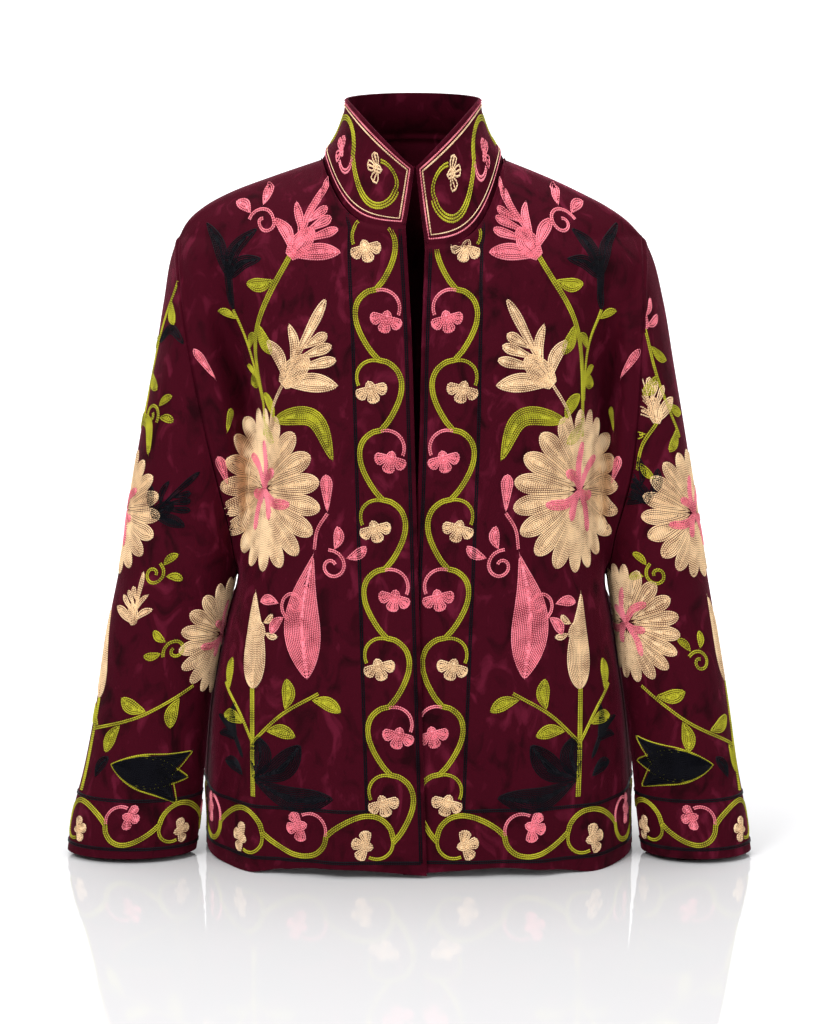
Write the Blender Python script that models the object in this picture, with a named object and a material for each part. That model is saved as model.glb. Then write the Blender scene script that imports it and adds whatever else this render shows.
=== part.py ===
"""A velvet jacket with a stand collar, worn open and filled out.

Units are metres and +Z is up. The front faces -Y. The origin is the neck base,
level with the points where the shoulder seams meet the collar. Heights in the
tables are measured up from the hem and are called rise.
"""
import math

import bpy
import numpy as np

# Driving sizes
NECK_RISE = 0.650
WALL = 0.002
SEAM_GAP = 0.0003
UNDERARM_RISE = 0.262
TIP_RISE = 0.578
CUFF_RISE = -0.001
SEAM_FORWARD = 0.006
VELVET = (0.085, 0.006, 0.014)
VELVET_ROUGHNESS = 0.85
SHARP_ANGLE = math.radians(50)

# Neck opening
NECK_HALF = 0.0835
NECK_FRONT = 0.095
NECK_BACK = 0.078
NECK_BACK_RISE = 0.670
NECK_CURVE = 4.4
NECK_DROP = {-1: 0.061, 1: 0.078}
NECK_EDGE_RISE = 0.588
BACK_NECK_POWER = 0.7

# Stand band: its upper edge
BAND_HALF = 0.0625
BAND_FRONT = 0.076
BAND_BACK = 0.052
BAND_FRONT_RISE = {-1: 0.642, 1: 0.640}
BAND_SIDE_RISE = 0.704
BAND_BACK_RISE = 0.711
BAND_END = {-1: -0.0010, 1: 0.0025}
BAND_HOLLOW = 0.0045
BAND_FRONT_POWER = 1.1

# Mesh steps
NECK_STEPS = 6
SHOULDER_STEPS = 9
SKIRT_ROWS = 9
YOKE_ROWS = 13
SLEEVE_ROWS = 15
BAND_ROWS = 3

# The front panels overlap below the chest, the wearer's left one underneath
LAP_TOP = 0.50
LAP_BLEND = 0.10
LAP_DEPTH = 0.0038
LAP_WIDTH = 0.055

# Across a panel: where the section's named points lie, from centre to side
STATIONS = (0.0, 0.28, 0.54, 0.73, 0.87, 1.0)
NECK_END = 0.31
# How much of wide_fold the columns beside the fold take
MID_SHARE = 0.2
CORNER_SHARE = 0.8

# Over the shoulder a panel bends in to its seam within this height
YOKE_BLEND = 0.12
BEND_HEIGHT = 0.110
BEND_LEAST = 0.002
BEND_FADE = 0.8
BEND_POWER = 0.5
BEND_NECK_POWER = 0.4

# Folds die away towards the seams and at their own ends
FOLD_SEAM_HEIGHT = 0.03
FOLD_SEAM_WIDTH = 0.06
FOLD_END = 0.45
FOLD_OPEN_END = 0.8

# Rows by the armhole lie closer together at its two ends
YOKE_ROUND = 0.6

SECTION_COLUMNS = (
    "rise", "centre", "mid_x", "mid", "corner_x", "corner", "fold_x", "fold",
    "lobe_x", "lobe", "seam_x", "seam", "wide_fold", "wide_seam",
)
# Half sections of the fronts. The x columns are distances from the centre line
# on the viewer's left; wide_fold and wide_seam are added on the viewer's right.
FRONT_SECTIONS = (
    (0.000, 0.130, 0.080, 0.126, 0.150, 0.104, 0.182, 0.068, 0.194, 0.035, 0.199, 0.000, 0.014, 0.012),
    (0.070, 0.129, 0.080, 0.125, 0.149, 0.102, 0.180, 0.067, 0.191, 0.035, 0.197, 0.000, 0.012, 0.010),
    (0.150, 0.127, 0.078, 0.122, 0.145, 0.098, 0.176, 0.065, 0.186, 0.033, 0.189, 0.000, 0.010, 0.009),
    (0.215, 0.124, 0.076, 0.119, 0.138, 0.095, 0.165, 0.060, 0.173, 0.029, 0.1765, 0.000, 0.012, 0.012),
    (0.262, 0.122, 0.075, 0.117, 0.131, 0.092, 0.156, 0.054, 0.163, 0.024, 0.166, 0.000, 0.017, 0.017),
    (0.268, 0.122, 0.075, 0.117, 0.130, 0.091, 0.156, 0.050, 0.163, 0.026, 0.167, 0.013, 0.017, 0.018),
    (0.300, 0.121, 0.074, 0.115, 0.127, 0.089, 0.155, 0.036, 0.163, 0.033, 0.172, 0.029, 0.019, 0.019),
    (0.347, 0.119, 0.072, 0.112, 0.125, 0.087, 0.153, 0.027, 0.167, 0.042, 0.182, 0.043, 0.023, 0.020),
    (0.413, 0.116, 0.072, 0.110, 0.126, 0.084, 0.153, 0.026, 0.174, 0.050, 0.196, 0.051, 0.027, 0.013),
    (0.476, 0.110, 0.074, 0.104, 0.135, 0.081, 0.168, 0.038, 0.188, 0.053, 0.208, 0.049, 0.013, 0.004),
    (0.530, 0.103, 0.078, 0.098, 0.141, 0.080, 0.181, 0.055, 0.200, 0.051, 0.216, 0.039, 0.003, -0.002),
    (0.560, 0.099, 0.080, 0.095, 0.145, 0.075, 0.186, 0.055, 0.206, 0.043, 0.2185, 0.025, -0.001, -0.004),
    (0.578, 0.096, 0.080, 0.092, 0.146, 0.070, 0.187, 0.049, 0.208, 0.031, 0.219, 0.006, -0.002, -0.0045),
)
# Half sections of the back, with the same seam as the fronts
BACK_SECTIONS = (
    (0.000, 0.128, 0.080, 0.124, 0.150, 0.104, 0.183, 0.072, 0.199, 0.034, 0.199, 0.000, 0.012, 0.012),
    (0.070, 0.126, 0.080, 0.122, 0.148, 0.102, 0.185, 0.071, 0.203, 0.034, 0.197, 0.000, 0.010, 0.010),
    (0.150, 0.122, 0.078, 0.118, 0.144, 0.098, 0.182, 0.068, 0.198, 0.033, 0.189, 0.000, 0.009, 0.009),
    (0.215, 0.119, 0.076, 0.115, 0.138, 0.094, 0.172, 0.064, 0.183, 0.032, 0.1765, 0.000, 0.012, 0.012),
    (0.262, 0.118, 0.075, 0.114, 0.131, 0.091, 0.156, 0.056, 0.164, 0.025, 0.166, 0.000, 0.017, 0.017),
    (0.268, 0.118, 0.075, 0.114, 0.131, 0.091, 0.156, 0.053, 0.164, 0.027, 0.167, 0.012, 0.017, 0.018),
    (0.300, 0.118, 0.075, 0.114, 0.130, 0.090, 0.155, 0.044, 0.163, 0.035, 0.172, 0.029, 0.019, 0.019),
    (0.347, 0.119, 0.075, 0.115, 0.132, 0.090, 0.155, 0.039, 0.167, 0.044, 0.182, 0.043, 0.021, 0.020),
    (0.413, 0.119, 0.077, 0.115, 0.137, 0.089, 0.160, 0.045, 0.176, 0.052, 0.196, 0.051, 0.019, 0.013),
    (0.476, 0.116, 0.078, 0.112, 0.141, 0.087, 0.172, 0.056, 0.190, 0.056, 0.208, 0.050, 0.009, 0.004),
    (0.530, 0.110, 0.080, 0.105, 0.144, 0.083, 0.181, 0.061, 0.200, 0.053, 0.216, 0.039, 0.003, -0.002),
    (0.560, 0.104, 0.080, 0.098, 0.146, 0.076, 0.186, 0.055, 0.206, 0.041, 0.2185, 0.023, -0.001, -0.004),
    (0.578, 0.098, 0.080, 0.092, 0.146, 0.068, 0.187, 0.045, 0.208, 0.026, 0.219, -0.006, -0.002, -0.0045),
)

# Open front edges: distance of each edge from the centre line to its own side
EDGE_COLUMNS = ("rise", "right_front", "left_front")
FRONT_EDGES = (
    (0.000, -0.0125, -0.0090),
    (0.150, -0.0080, -0.0035),
    (0.290, -0.0040, 0.0020),
    (0.400, -0.0010, 0.0060),
    (0.500, 0.0020, 0.0080),
    (0.588, 0.0070, 0.0110),
)

# Shoulder seam from the collar to the armhole
RIDGE_COLUMNS = ("across", "rise", "x_left", "x_right")
RIDGE = (
    (0.31, 0.650, 0.0835, 0.0835),
    (0.46, 0.635, 0.1280, 0.1210),
    (0.66, 0.618, 0.1730, 0.1580),
    (0.79, 0.606, 0.1950, 0.1810),
    (0.91, 0.592, 0.2110, 0.2010),
    (1.00, 0.578, 0.2190, 0.2145),
)

# How far the hem drops or lifts across a front
HEM_COLUMNS = ("across", "front_lift")
FRONT_HEM = (
    (0.00, -0.003),
    (0.26, 0.003),
    (0.42, 0.000),
    (0.58, -0.006),
    (0.78, -0.004),
    (1.00, -0.003),
)

BACK_HEM_LIFT = -0.003

# Sleeve rings: outer and inner side, forward reach of the centre, half depth
SLEEVE_COLUMNS = ("rise", "outer_l", "inner_l", "outer_r", "inner_r", "forward", "half_depth")
SLEEVE_SECTIONS = (
    (-0.001, 0.3285, 0.2060, 0.3215, 0.2170, 0.035, 0.043),
    (0.030, 0.3240, 0.2020, 0.3170, 0.2130, 0.034, 0.044),
    (0.076, 0.3125, 0.1980, 0.3085, 0.2085, 0.030, 0.045),
    (0.135, 0.3010, 0.1925, 0.2995, 0.2015, 0.023, 0.046),
    (0.212, 0.2890, 0.1790, 0.2870, 0.1910, 0.014, 0.048),
    (0.262, 0.2790, 0.1665, 0.2785, 0.1835, 0.008, 0.049),
    (0.347, 0.2650, 0.1600, 0.2645, 0.1790, 0.004, 0.050),
    (0.404, 0.2550, 0.1600, 0.2550, 0.1790, 0.002, 0.051),
    (0.461, 0.2435, 0.1650, 0.2450, 0.1800, 0.001, 0.051),
    (0.518, 0.2335, 0.1750, 0.2345, 0.1850, 0.000, 0.050),
    (0.560, 0.2255, 0.1850, 0.2230, 0.1880, 0.000, 0.046),
    (0.578, 0.2190, 0.1900, 0.2145, 0.1900, 0.000, 0.040),
)
SEAM_EASE = 0.30
SLEEVE_FOLD_START = 0.15

# Under the arm the sleeve and the body face each other and stand a little apart
CROTCH_GAP = 0.0006
CROTCH_HEIGHT = 0.040

# Largest folds on the front of the body, as troughs (negative) and ridges
FOLD_COLUMNS = ("x_top", "rise_top", "x_end", "rise_end", "width", "depth")
FRONT_FOLDS = (
    (0.098, 0.640, 0.116, 0.575, 0.010, -0.0030),
    (0.213, 0.560, 0.185, 0.490, 0.012, -0.0045),
    (0.196, 0.545, 0.170, 0.470, 0.012, 0.0025),
    (-0.160, 0.190, -0.176, 0.000, 0.011, -0.0045),
    (-0.140, 0.170, -0.150, 0.000, 0.010, 0.0030),
    (-0.118, 0.120, -0.124, 0.000, 0.011, -0.0025),
    (0.182, 0.230, 0.196, 0.000, 0.011, -0.0040),
    (0.160, 0.180, 0.172, 0.000, 0.010, 0.0030),
    (0.136, 0.110, 0.143, 0.000, 0.011, -0.0020),
    (-0.178, 0.560, -0.150, 0.480, 0.014, -0.0025),
)
BACK_FOLDS = (
    (-0.095, 0.330, -0.120, 0.000, 0.018, -0.0040),
    (-0.060, 0.240, -0.075, 0.000, 0.016, 0.0030),
    (0.100, 0.350, 0.128, 0.000, 0.018, -0.0040),
    (0.058, 0.220, 0.070, 0.000, 0.016, 0.0030),
    (0.170, 0.200, 0.182, 0.000, 0.012, -0.0035),
    (-0.165, 0.210, -0.178, 0.000, 0.012, -0.0035),
    (-0.185, 0.560, -0.150, 0.450, 0.016, -0.0030),
    (0.180, 0.555, 0.148, 0.450, 0.016, -0.0030),
)
# Folds on the sleeves run round the arm: angle 0 is outside, 90 is the front
SLEEVE_FOLD_COLUMNS = ("angle_a", "rise_a", "angle_b", "rise_b", "width", "depth")
SLEEVE_FOLDS = (
    (60.0, 0.440, 130.0, 0.400, 0.012, -0.0025),
    (40.0, 0.330, 120.0, 0.290, 0.014, -0.0025),
    (50.0, 0.300, 140.0, 0.245, 0.012, 0.0020),
    (30.0, 0.215, 110.0, 0.190, 0.013, -0.0020),
    (240.0, 0.400, 310.0, 0.430, 0.014, -0.0025),
    (235.0, 0.270, 320.0, 0.310, 0.014, -0.0025),
)


def column(table, names, name):
    """One named column of a table as an array."""
    place = names.index(name)
    return np.array([row[place] for row in table])


def curve_at(xs, ys, x, level=True):
    """A smooth curve through table values, held level where the table turns."""
    xs = np.asarray(xs, float)
    ys = np.asarray(ys, float)
    x = np.clip(np.asarray(x, float), xs[0], xs[-1])
    step = np.diff(xs)
    rate = np.diff(ys) / step
    slope = np.empty(len(xs))
    slope[0] = rate[0]
    slope[-1] = rate[-1]
    slope[1:-1] = (rate[:-1] * step[1:] + rate[1:] * step[:-1]) / (step[1:] + step[:-1])
    if level:
        turns = rate[:-1] * rate[1:] <= 0
        slope[1:-1][turns] = 0
        limit = 3 * np.minimum(abs(rate[:-1]), abs(rate[1:]))
        slope[1:-1] = np.clip(slope[1:-1], -limit, limit)
    place = np.clip(np.searchsorted(xs, x, side="right") - 1, 0, len(step) - 1)
    wide = step[place]
    part = (x - xs[place]) / wide
    square = part * part
    cube = square * part
    return (
        (2 * cube - 3 * square + 1) * ys[place]
        + (cube - 2 * square + part) * wide * slope[place]
        + (3 * square - 2 * cube) * ys[place + 1]
        + (cube - square) * wide * slope[place + 1]
    )


def ease(value):
    """A soft step from 0 to 1."""
    value = np.clip(value, 0, 1)
    return value * value * (3 - 2 * value)


def from_table(table, names, name, rise):
    """A table value at a height above the hem."""
    return curve_at(column(table, names, "rise"), column(table, names, name), rise)


def edge_distance(side, rise):
    """Distance from the centre line to a front's open edge."""
    name = "right_front" if side < 0 else "left_front"
    return from_table(FRONT_EDGES, EDGE_COLUMNS, name, rise)


def section_point(face, side, across, rise):
    """Distance from the centre line and forward reach on a half section."""
    table = FRONT_SECTIONS if face == "front" else BACK_SECTIONS
    values = {name: from_table(table, SECTION_COLUMNS, name, rise) for name in SECTION_COLUMNS[1:]}
    wide_fold = values["wide_fold"] if side > 0 else 0.0
    wide_seam = values["wide_seam"] if side > 0 else 0.0
    start = edge_distance(side, rise) if face == "front" else 0.0
    outs = (
        start,
        values["mid_x"] + MID_SHARE * wide_fold,
        values["corner_x"] + CORNER_SHARE * wide_fold,
        values["fold_x"] + wide_fold,
        values["lobe_x"] + 0.5 * (wide_fold + wide_seam),
        values["seam_x"] + wide_seam,
    )
    reach = ("centre", "mid", "corner", "fold", "lobe", "seam")
    out = float(curve_at(STATIONS, outs, across))
    forward = float(curve_at(STATIONS, [values[name] for name in reach], across, level=False))
    return out, forward


def neck_angle(side, across):
    """Angle round the neck of a panel's column: 0 at the centre, 90 at the side."""
    start = 0.0
    if side is not None:
        start = math.asin(edge_distance(side, NECK_EDGE_RISE) / NECK_HALF)
    return start + (math.pi / 2 - start) * across / NECK_END


def panel_top(face, side, across):
    """Top of a panel's column: distance out, forward reach and rise."""
    if across <= NECK_END:
        angle = neck_angle(side if face == "front" else None, across)
        out = NECK_HALF * math.sin(angle)
        level = (math.sin(angle)) ** NECK_CURVE
        if face == "front":
            forward = SEAM_FORWARD + (NECK_FRONT - SEAM_FORWARD) * math.cos(angle)
            return out, forward, NECK_RISE - NECK_DROP[side] * (1 - level)
        forward = -SEAM_FORWARD + (NECK_BACK + SEAM_FORWARD) * math.cos(angle)
        rise = NECK_RISE + (NECK_BACK_RISE - NECK_RISE) * math.cos(angle) ** BACK_NECK_POWER
        return out, forward, rise
    spots = column(RIDGE, RIDGE_COLUMNS, "across")
    name = "x_left" if side < 0 else "x_right"
    out = float(curve_at(spots, column(RIDGE, RIDGE_COLUMNS, name), across))
    rise = float(curve_at(spots, column(RIDGE, RIDGE_COLUMNS, "rise"), across))
    forward = SEAM_FORWARD if face == "front" else -SEAM_FORWARD
    return out, forward, rise


def fold_depth(folds, x, rise):
    """Sum of the soft troughs and ridges at a place on a panel."""
    total = 0.0
    for row in folds:
        fold = dict(zip(FOLD_COLUMNS, row))
        start = np.array((fold["x_top"], fold["rise_top"]))
        along = np.array((fold["x_end"], fold["rise_end"])) - start
        part = float(np.dot(np.array((x, rise)) - start, along) / np.dot(along, along))
        near = start + along * min(max(part, 0.0), 1.0)
        away = math.hypot(x - near[0], rise - near[1]) / fold["width"]
        if fold["rise_end"] > 0:
            fade = float(ease(part / FOLD_END)) * float(ease((1 - part) / FOLD_END))
        else:
            fade = float(ease(part / FOLD_OPEN_END))
        total += fold["depth"] * math.exp(-away * away) * fade
    return total


def panel_point(face, side, across, up):
    """A point of a front or back panel; up runs from 0 at the hem to 1 at the top."""
    top_out, top_forward, top_rise = panel_top(face, side, across)
    hem = BACK_HEM_LIFT
    if face == "front":
        places = column(FRONT_HEM, HEM_COLUMNS, "across")
        hem = float(curve_at(places, column(FRONT_HEM, HEM_COLUMNS, "front_lift"), across))
    rise = hem + up * (top_rise - hem)
    out, forward = section_point(face, side, across, rise)
    end_out = section_point(face, side, across, top_rise)[0]
    below = top_rise - rise
    out += (top_out - end_out) * float(ease(1 - below / YOKE_BLEND))
    beyond = max(0.0, (across - NECK_END) / (1 - NECK_END))
    height = BEND_HEIGHT * (1 - beyond) ** BEND_FADE + BEND_LEAST
    depth = min(below / height, 1.0)
    power = BEND_POWER + BEND_NECK_POWER * (1 - min(across / NECK_END, 1.0))
    forward = top_forward + (forward - top_forward) * (1 - (1 - depth) ** 2) ** power
    x = side * out
    folds = FRONT_FOLDS if face == "front" else BACK_FOLDS
    inside = float(ease(below / FOLD_SEAM_HEIGHT)) * float(ease((1 - across) / FOLD_SEAM_WIDTH))
    forward += inside * fold_depth(folds, x, rise)
    if face == "front" and side > 0:
        near = math.exp(-((out - edge_distance(side, rise)) / LAP_WIDTH) ** 2)
        forward -= LAP_DEPTH * float(ease((LAP_TOP - rise) / LAP_BLEND)) * near
    y = -forward if face == "front" else forward
    return np.array((x, y, rise - NECK_RISE))


def row_heights():
    """How far up a panel each row of points lies; one row meets the underarm."""
    start = UNDERARM_RISE / TIP_RISE
    skirt = [start * i / SKIRT_ROWS for i in range(SKIRT_ROWS)]
    yoke = []
    for i in range(YOKE_ROWS + 1):
        part = i / YOKE_ROWS
        round_part = 0.5 * (1 - math.cos(math.pi * part))
        yoke.append(start + (1 - start) * (YOKE_ROUND * round_part + (1 - YOKE_ROUND) * part))
    return skirt + yoke


def across_steps():
    """Where the columns of a panel lie, from the centre to the side."""
    neck = [NECK_END * i / NECK_STEPS for i in range(NECK_STEPS)]
    shoulder = [NECK_END + (1 - NECK_END) * i / SHOULDER_STEPS for i in range(SHOULDER_STEPS + 1)]
    return neck + shoulder


def half_panel(face, side):
    """Grid of points of one side's panel, columns first."""
    rows = row_heights()
    return np.array([[panel_point(face, side, a, up) for up in rows] for a in across_steps()])


def sleeve_ring(side, angle, rise):
    """A point of the sleeve's plain tube."""
    end = "l" if side < 0 else "r"
    outer = from_table(SLEEVE_SECTIONS, SLEEVE_COLUMNS, "outer_" + end, rise)
    inner = from_table(SLEEVE_SECTIONS, SLEEVE_COLUMNS, "inner_" + end, rise)
    forward = from_table(SLEEVE_SECTIONS, SLEEVE_COLUMNS, "forward", rise)
    half_depth = from_table(SLEEVE_SECTIONS, SLEEVE_COLUMNS, "half_depth", rise)
    middle = (outer + inner) / 2
    out = middle + (outer - inner) / 2 * math.cos(angle)
    y = -(forward + half_depth * math.sin(angle))
    return np.array((side * out, y, rise - NECK_RISE))


def sleeve_grid(side, front, back):
    """Grid of a sleeve, from the armhole's own points down to the cuff."""
    first = SKIRT_ROWS
    ring = [front[-1][i] for i in range(len(front[-1]) - 1, first - 1, -1)]
    ring += [back[-1][i] for i in range(first + 1, len(back[-1]) - 1)]
    count = len(ring)
    grid = []
    for i, start in enumerate(ring):
        angle = 2 * math.pi * i / count
        top = start[2] + NECK_RISE
        low = max(0.0, 1 - (top - UNDERARM_RISE) / CROTCH_HEIGHT)
        start = start + np.array((side * CROTCH_GAP * low, 0, 0))
        offset = start - sleeve_ring(side, angle, top)
        line = []
        for j in range(SLEEVE_ROWS + 1):
            part = j / SLEEVE_ROWS
            rise = top + (CUFF_RISE - top) * part
            spot = sleeve_ring(side, angle, rise) + offset * (1 - float(ease(part / SEAM_EASE)))
            depth = sum(sleeve_fold(row, math.degrees(angle), rise) for row in SLEEVE_FOLDS)
            depth *= float(ease(part / SLEEVE_FOLD_START))
            middle = sleeve_ring(side, 0, rise) + sleeve_ring(side, math.pi, rise)
            away = spot - middle / 2
            away[2] = 0
            spot = spot + away / np.linalg.norm(away) * depth
            line.append(spot)
        grid.append(line)
    return np.array(grid)


def sleeve_fold(row, angle, rise):
    """Depth of one sleeve fold at a place on the sleeve."""
    fold = dict(zip(SLEEVE_FOLD_COLUMNS, row))
    part = (angle - fold["angle_a"]) / (fold["angle_b"] - fold["angle_a"])
    if part < 0 or part > 1:
        return 0.0
    level = fold["rise_a"] + (fold["rise_b"] - fold["rise_a"]) * part
    away = (rise - level) / fold["width"]
    return fold["depth"] * math.exp(-away * away) * math.sin(math.pi * part)


def band_top(side, angle, front):
    """Upper edge of the stand band over a neck angle."""
    if front:
        start = math.asin(BAND_END[side] / BAND_HALF)
        first = math.asin(edge_distance(side, NECK_EDGE_RISE) / NECK_HALF)
        turn = start + (math.pi / 2 - start) * (angle - first) / (math.pi / 2 - first)
        forward = SEAM_FORWARD + (BAND_FRONT - SEAM_FORWARD) * math.cos(turn)
        climb = abs(math.sin(turn)) ** BAND_FRONT_POWER
        rise = BAND_FRONT_RISE[side] + (BAND_SIDE_RISE - BAND_FRONT_RISE[side]) * climb
        return np.array((side * BAND_HALF * math.sin(turn), -forward, rise - NECK_RISE))
    forward = -SEAM_FORWARD + (BAND_BACK + SEAM_FORWARD) * math.cos(angle)
    rise = BAND_SIDE_RISE + (BAND_BACK_RISE - BAND_SIDE_RISE) * math.cos(angle)
    return np.array((side * BAND_HALF * math.sin(angle), forward, rise - NECK_RISE))


def band_grid(fronts, backs):
    """Grid of the stand band, from the wearer's right end round to the left."""
    steps = across_steps()[:NECK_STEPS + 1]
    columns = []
    for i in range(NECK_STEPS + 1):
        columns.append((fronts[-1][i][-1], band_top(-1, neck_angle(-1, steps[i]), True)))
    for i in range(NECK_STEPS - 1, -1, -1):
        columns.append((backs[-1][i][-1], band_top(-1, neck_angle(None, steps[i]), False)))
    for i in range(1, NECK_STEPS + 1):
        columns.append((backs[1][i][-1], band_top(1, neck_angle(None, steps[i]), False)))
    for i in range(NECK_STEPS - 1, -1, -1):
        columns.append((fronts[1][i][-1], band_top(1, neck_angle(1, steps[i]), True)))
    grid = []
    for low, high in columns:
        outward = np.array((low[0], low[1], 0.0)) / np.linalg.norm(low[:2])
        line = []
        for j in range(BAND_ROWS + 1):
            part = j / BAND_ROWS
            line.append(low + (high - low) * part - outward * BAND_HOLLOW * math.sin(math.pi * part))
        grid.append(line)
    return np.array(grid)


def grid_normals(grid, wrap, flip):
    """Outward directions at a grid's points."""
    if wrap:
        along = np.roll(grid, -1, axis=0) - np.roll(grid, 1, axis=0)
    else:
        along = np.gradient(grid, axis=0)
    up = np.gradient(grid, axis=1)
    normal = np.cross(along, up)
    normal /= np.maximum(np.linalg.norm(normal, axis=2, keepdims=True), 1e-12)
    return np.ascontiguousarray(normal * flip)


def share_normals(pieces):
    """Pieces that meet at a seam point take one direction there."""
    sums = {}
    for piece in pieces:
        for spot, normal in zip(piece["grid"].reshape(-1, 3), piece["normals"].reshape(-1, 3)):
            key = tuple(np.round(spot, 6))
            sums.setdefault(key, []).append(normal.copy())
    for piece in pieces:
        flat = piece["normals"].reshape(-1, 3)
        for i, spot in enumerate(piece["grid"].reshape(-1, 3)):
            met = sums[tuple(np.round(spot, 6))]
            if len(met) < 2:
                continue
            mean = sum(met)
            flat[i] = mean / np.linalg.norm(mean)


def pull(edge, inner, wrap):
    """Move an edge square to itself, into its piece, by half the seam gap."""
    way = inner - edge
    if wrap:
        along = np.roll(edge, -1, axis=0) - np.roll(edge, 1, axis=0)
    else:
        along = np.gradient(edge, axis=0)
    along /= np.linalg.norm(along, axis=1, keepdims=True)
    way -= along * np.sum(way * along, axis=1, keepdims=True)
    return edge + way / np.linalg.norm(way, axis=1, keepdims=True) * (SEAM_GAP / 2)


def trim(grid, seams, wrap):
    """Pull the seam edges of a grid back from the pieces they meet."""
    result = grid.copy()
    if "start" in seams:
        result[0] = pull(result[0], grid[1], False)
    if "end" in seams:
        result[-1] = pull(result[-1], grid[-2], False)
    if "bottom" in seams:
        result[:, 0] = pull(result[:, 0], grid[:, 1], wrap)
    if "top" in seams:
        result[:, -1] = pull(result[:, -1], grid[:, -2], wrap)
    return result


def wall_faces(columns, rows, wrap, flip):
    """Faces of a wall: an outer and an inner grid joined round their edges."""
    shift = columns * rows

    def at(i, j, layer):
        return layer * shift + (i % columns) * rows + j

    faces = []
    last = columns if wrap else columns - 1
    for i in range(last):
        for j in range(rows - 1):
            outer = (at(i, j, 0), at(i + 1, j, 0), at(i + 1, j + 1, 0), at(i, j + 1, 0))
            inner = (at(i, j, 1), at(i, j + 1, 1), at(i + 1, j + 1, 1), at(i + 1, j, 1))
            faces += [outer, inner]
        faces.append((at(i, 0, 0), at(i, 0, 1), at(i + 1, 0, 1), at(i + 1, 0, 0)))
        faces.append((at(i, rows - 1, 0), at(i + 1, rows - 1, 0), at(i + 1, rows - 1, 1), at(i, rows - 1, 1)))
    if not wrap:
        for j in range(rows - 1):
            faces.append((at(0, j, 0), at(0, j + 1, 0), at(0, j + 1, 1), at(0, j, 1)))
            far = columns - 1
            faces.append((at(far, j, 0), at(far, j, 1), at(far, j + 1, 1), at(far, j + 1, 0)))
    if flip < 0:
        faces = [tuple(reversed(face)) for face in faces]
    return faces


def cloth_material(name):
    """Plain velvet colour for one piece."""
    material = bpy.data.materials.new(name)
    material.use_nodes = True
    shader = material.node_tree.nodes["Principled BSDF"]
    shader.inputs["Base Color"].default_value = (*VELVET, 1.0)
    shader.inputs["Roughness"].default_value = VELVET_ROUGHNESS
    shader.inputs["Metallic"].default_value = 0.0
    return material


def build_wall(piece):
    """One cloth piece as a closed wall."""
    inner = piece["grid"] - piece["normals"] * WALL
    outer_edge = trim(piece["grid"], piece["seams"], piece["wrap"])
    inner_edge = trim(inner, piece["seams"], piece["wrap"])
    columns, rows = piece["grid"].shape[:2]
    points = np.vstack((outer_edge.reshape(-1, 3), inner_edge.reshape(-1, 3)))
    mesh = bpy.data.meshes.new(piece["name"])
    mesh.from_pydata(points.tolist(), [], wall_faces(columns, rows, piece["wrap"], piece["flip"]))
    mesh.shade_smooth()
    mesh.set_sharp_from_angle(angle=SHARP_ANGLE)
    mesh.materials.append(cloth_material(piece["name"]))
    item = bpy.data.objects.new(piece["name"], mesh)
    bpy.context.scene.collection.objects.link(item)
    return item


def main():
    """Model the jacket's six pieces."""
    for item in list(bpy.data.objects):
        bpy.data.objects.remove(item)
    fronts = {side: half_panel("front", side) for side in (-1, 1)}
    backs = {side: half_panel("back", side) for side in (-1, 1)}
    back = np.concatenate((backs[-1][::-1], backs[1][1:]))
    sleeves = {side: sleeve_grid(side, fronts[side], backs[side]) for side in (-1, 1)}
    band = band_grid(fronts, backs)
    pieces = (
        {"name": "front_right", "grid": fronts[-1], "flip": -1, "seams": ("end", "top"), "wrap": False},
        {"name": "front_left", "grid": fronts[1], "flip": 1, "seams": ("end", "top"), "wrap": False},
        {"name": "back", "grid": back, "flip": -1, "seams": ("start", "end", "top"), "wrap": False},
        {"name": "sleeve_right", "grid": sleeves[-1], "flip": -1, "seams": ("bottom",), "wrap": True},
        {"name": "sleeve_left", "grid": sleeves[1], "flip": 1, "seams": ("bottom",), "wrap": True},
        {"name": "collar", "grid": band, "flip": -1, "seams": ("bottom",), "wrap": False},
    )
    for piece in pieces:
        piece["normals"] = grid_normals(piece["grid"], piece["wrap"], piece["flip"])
    share_normals(pieces)
    for piece in pieces:
        build_wall(piece)


main()
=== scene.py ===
"""Looks of an embroidered velvet jacket, laid out as a Blender add-on.

Units are metres and +Z is up. The front faces -Y and the origin is the neck
base. Heights in the tables are measured up from the hem and are called rise.
"""
import math

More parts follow.
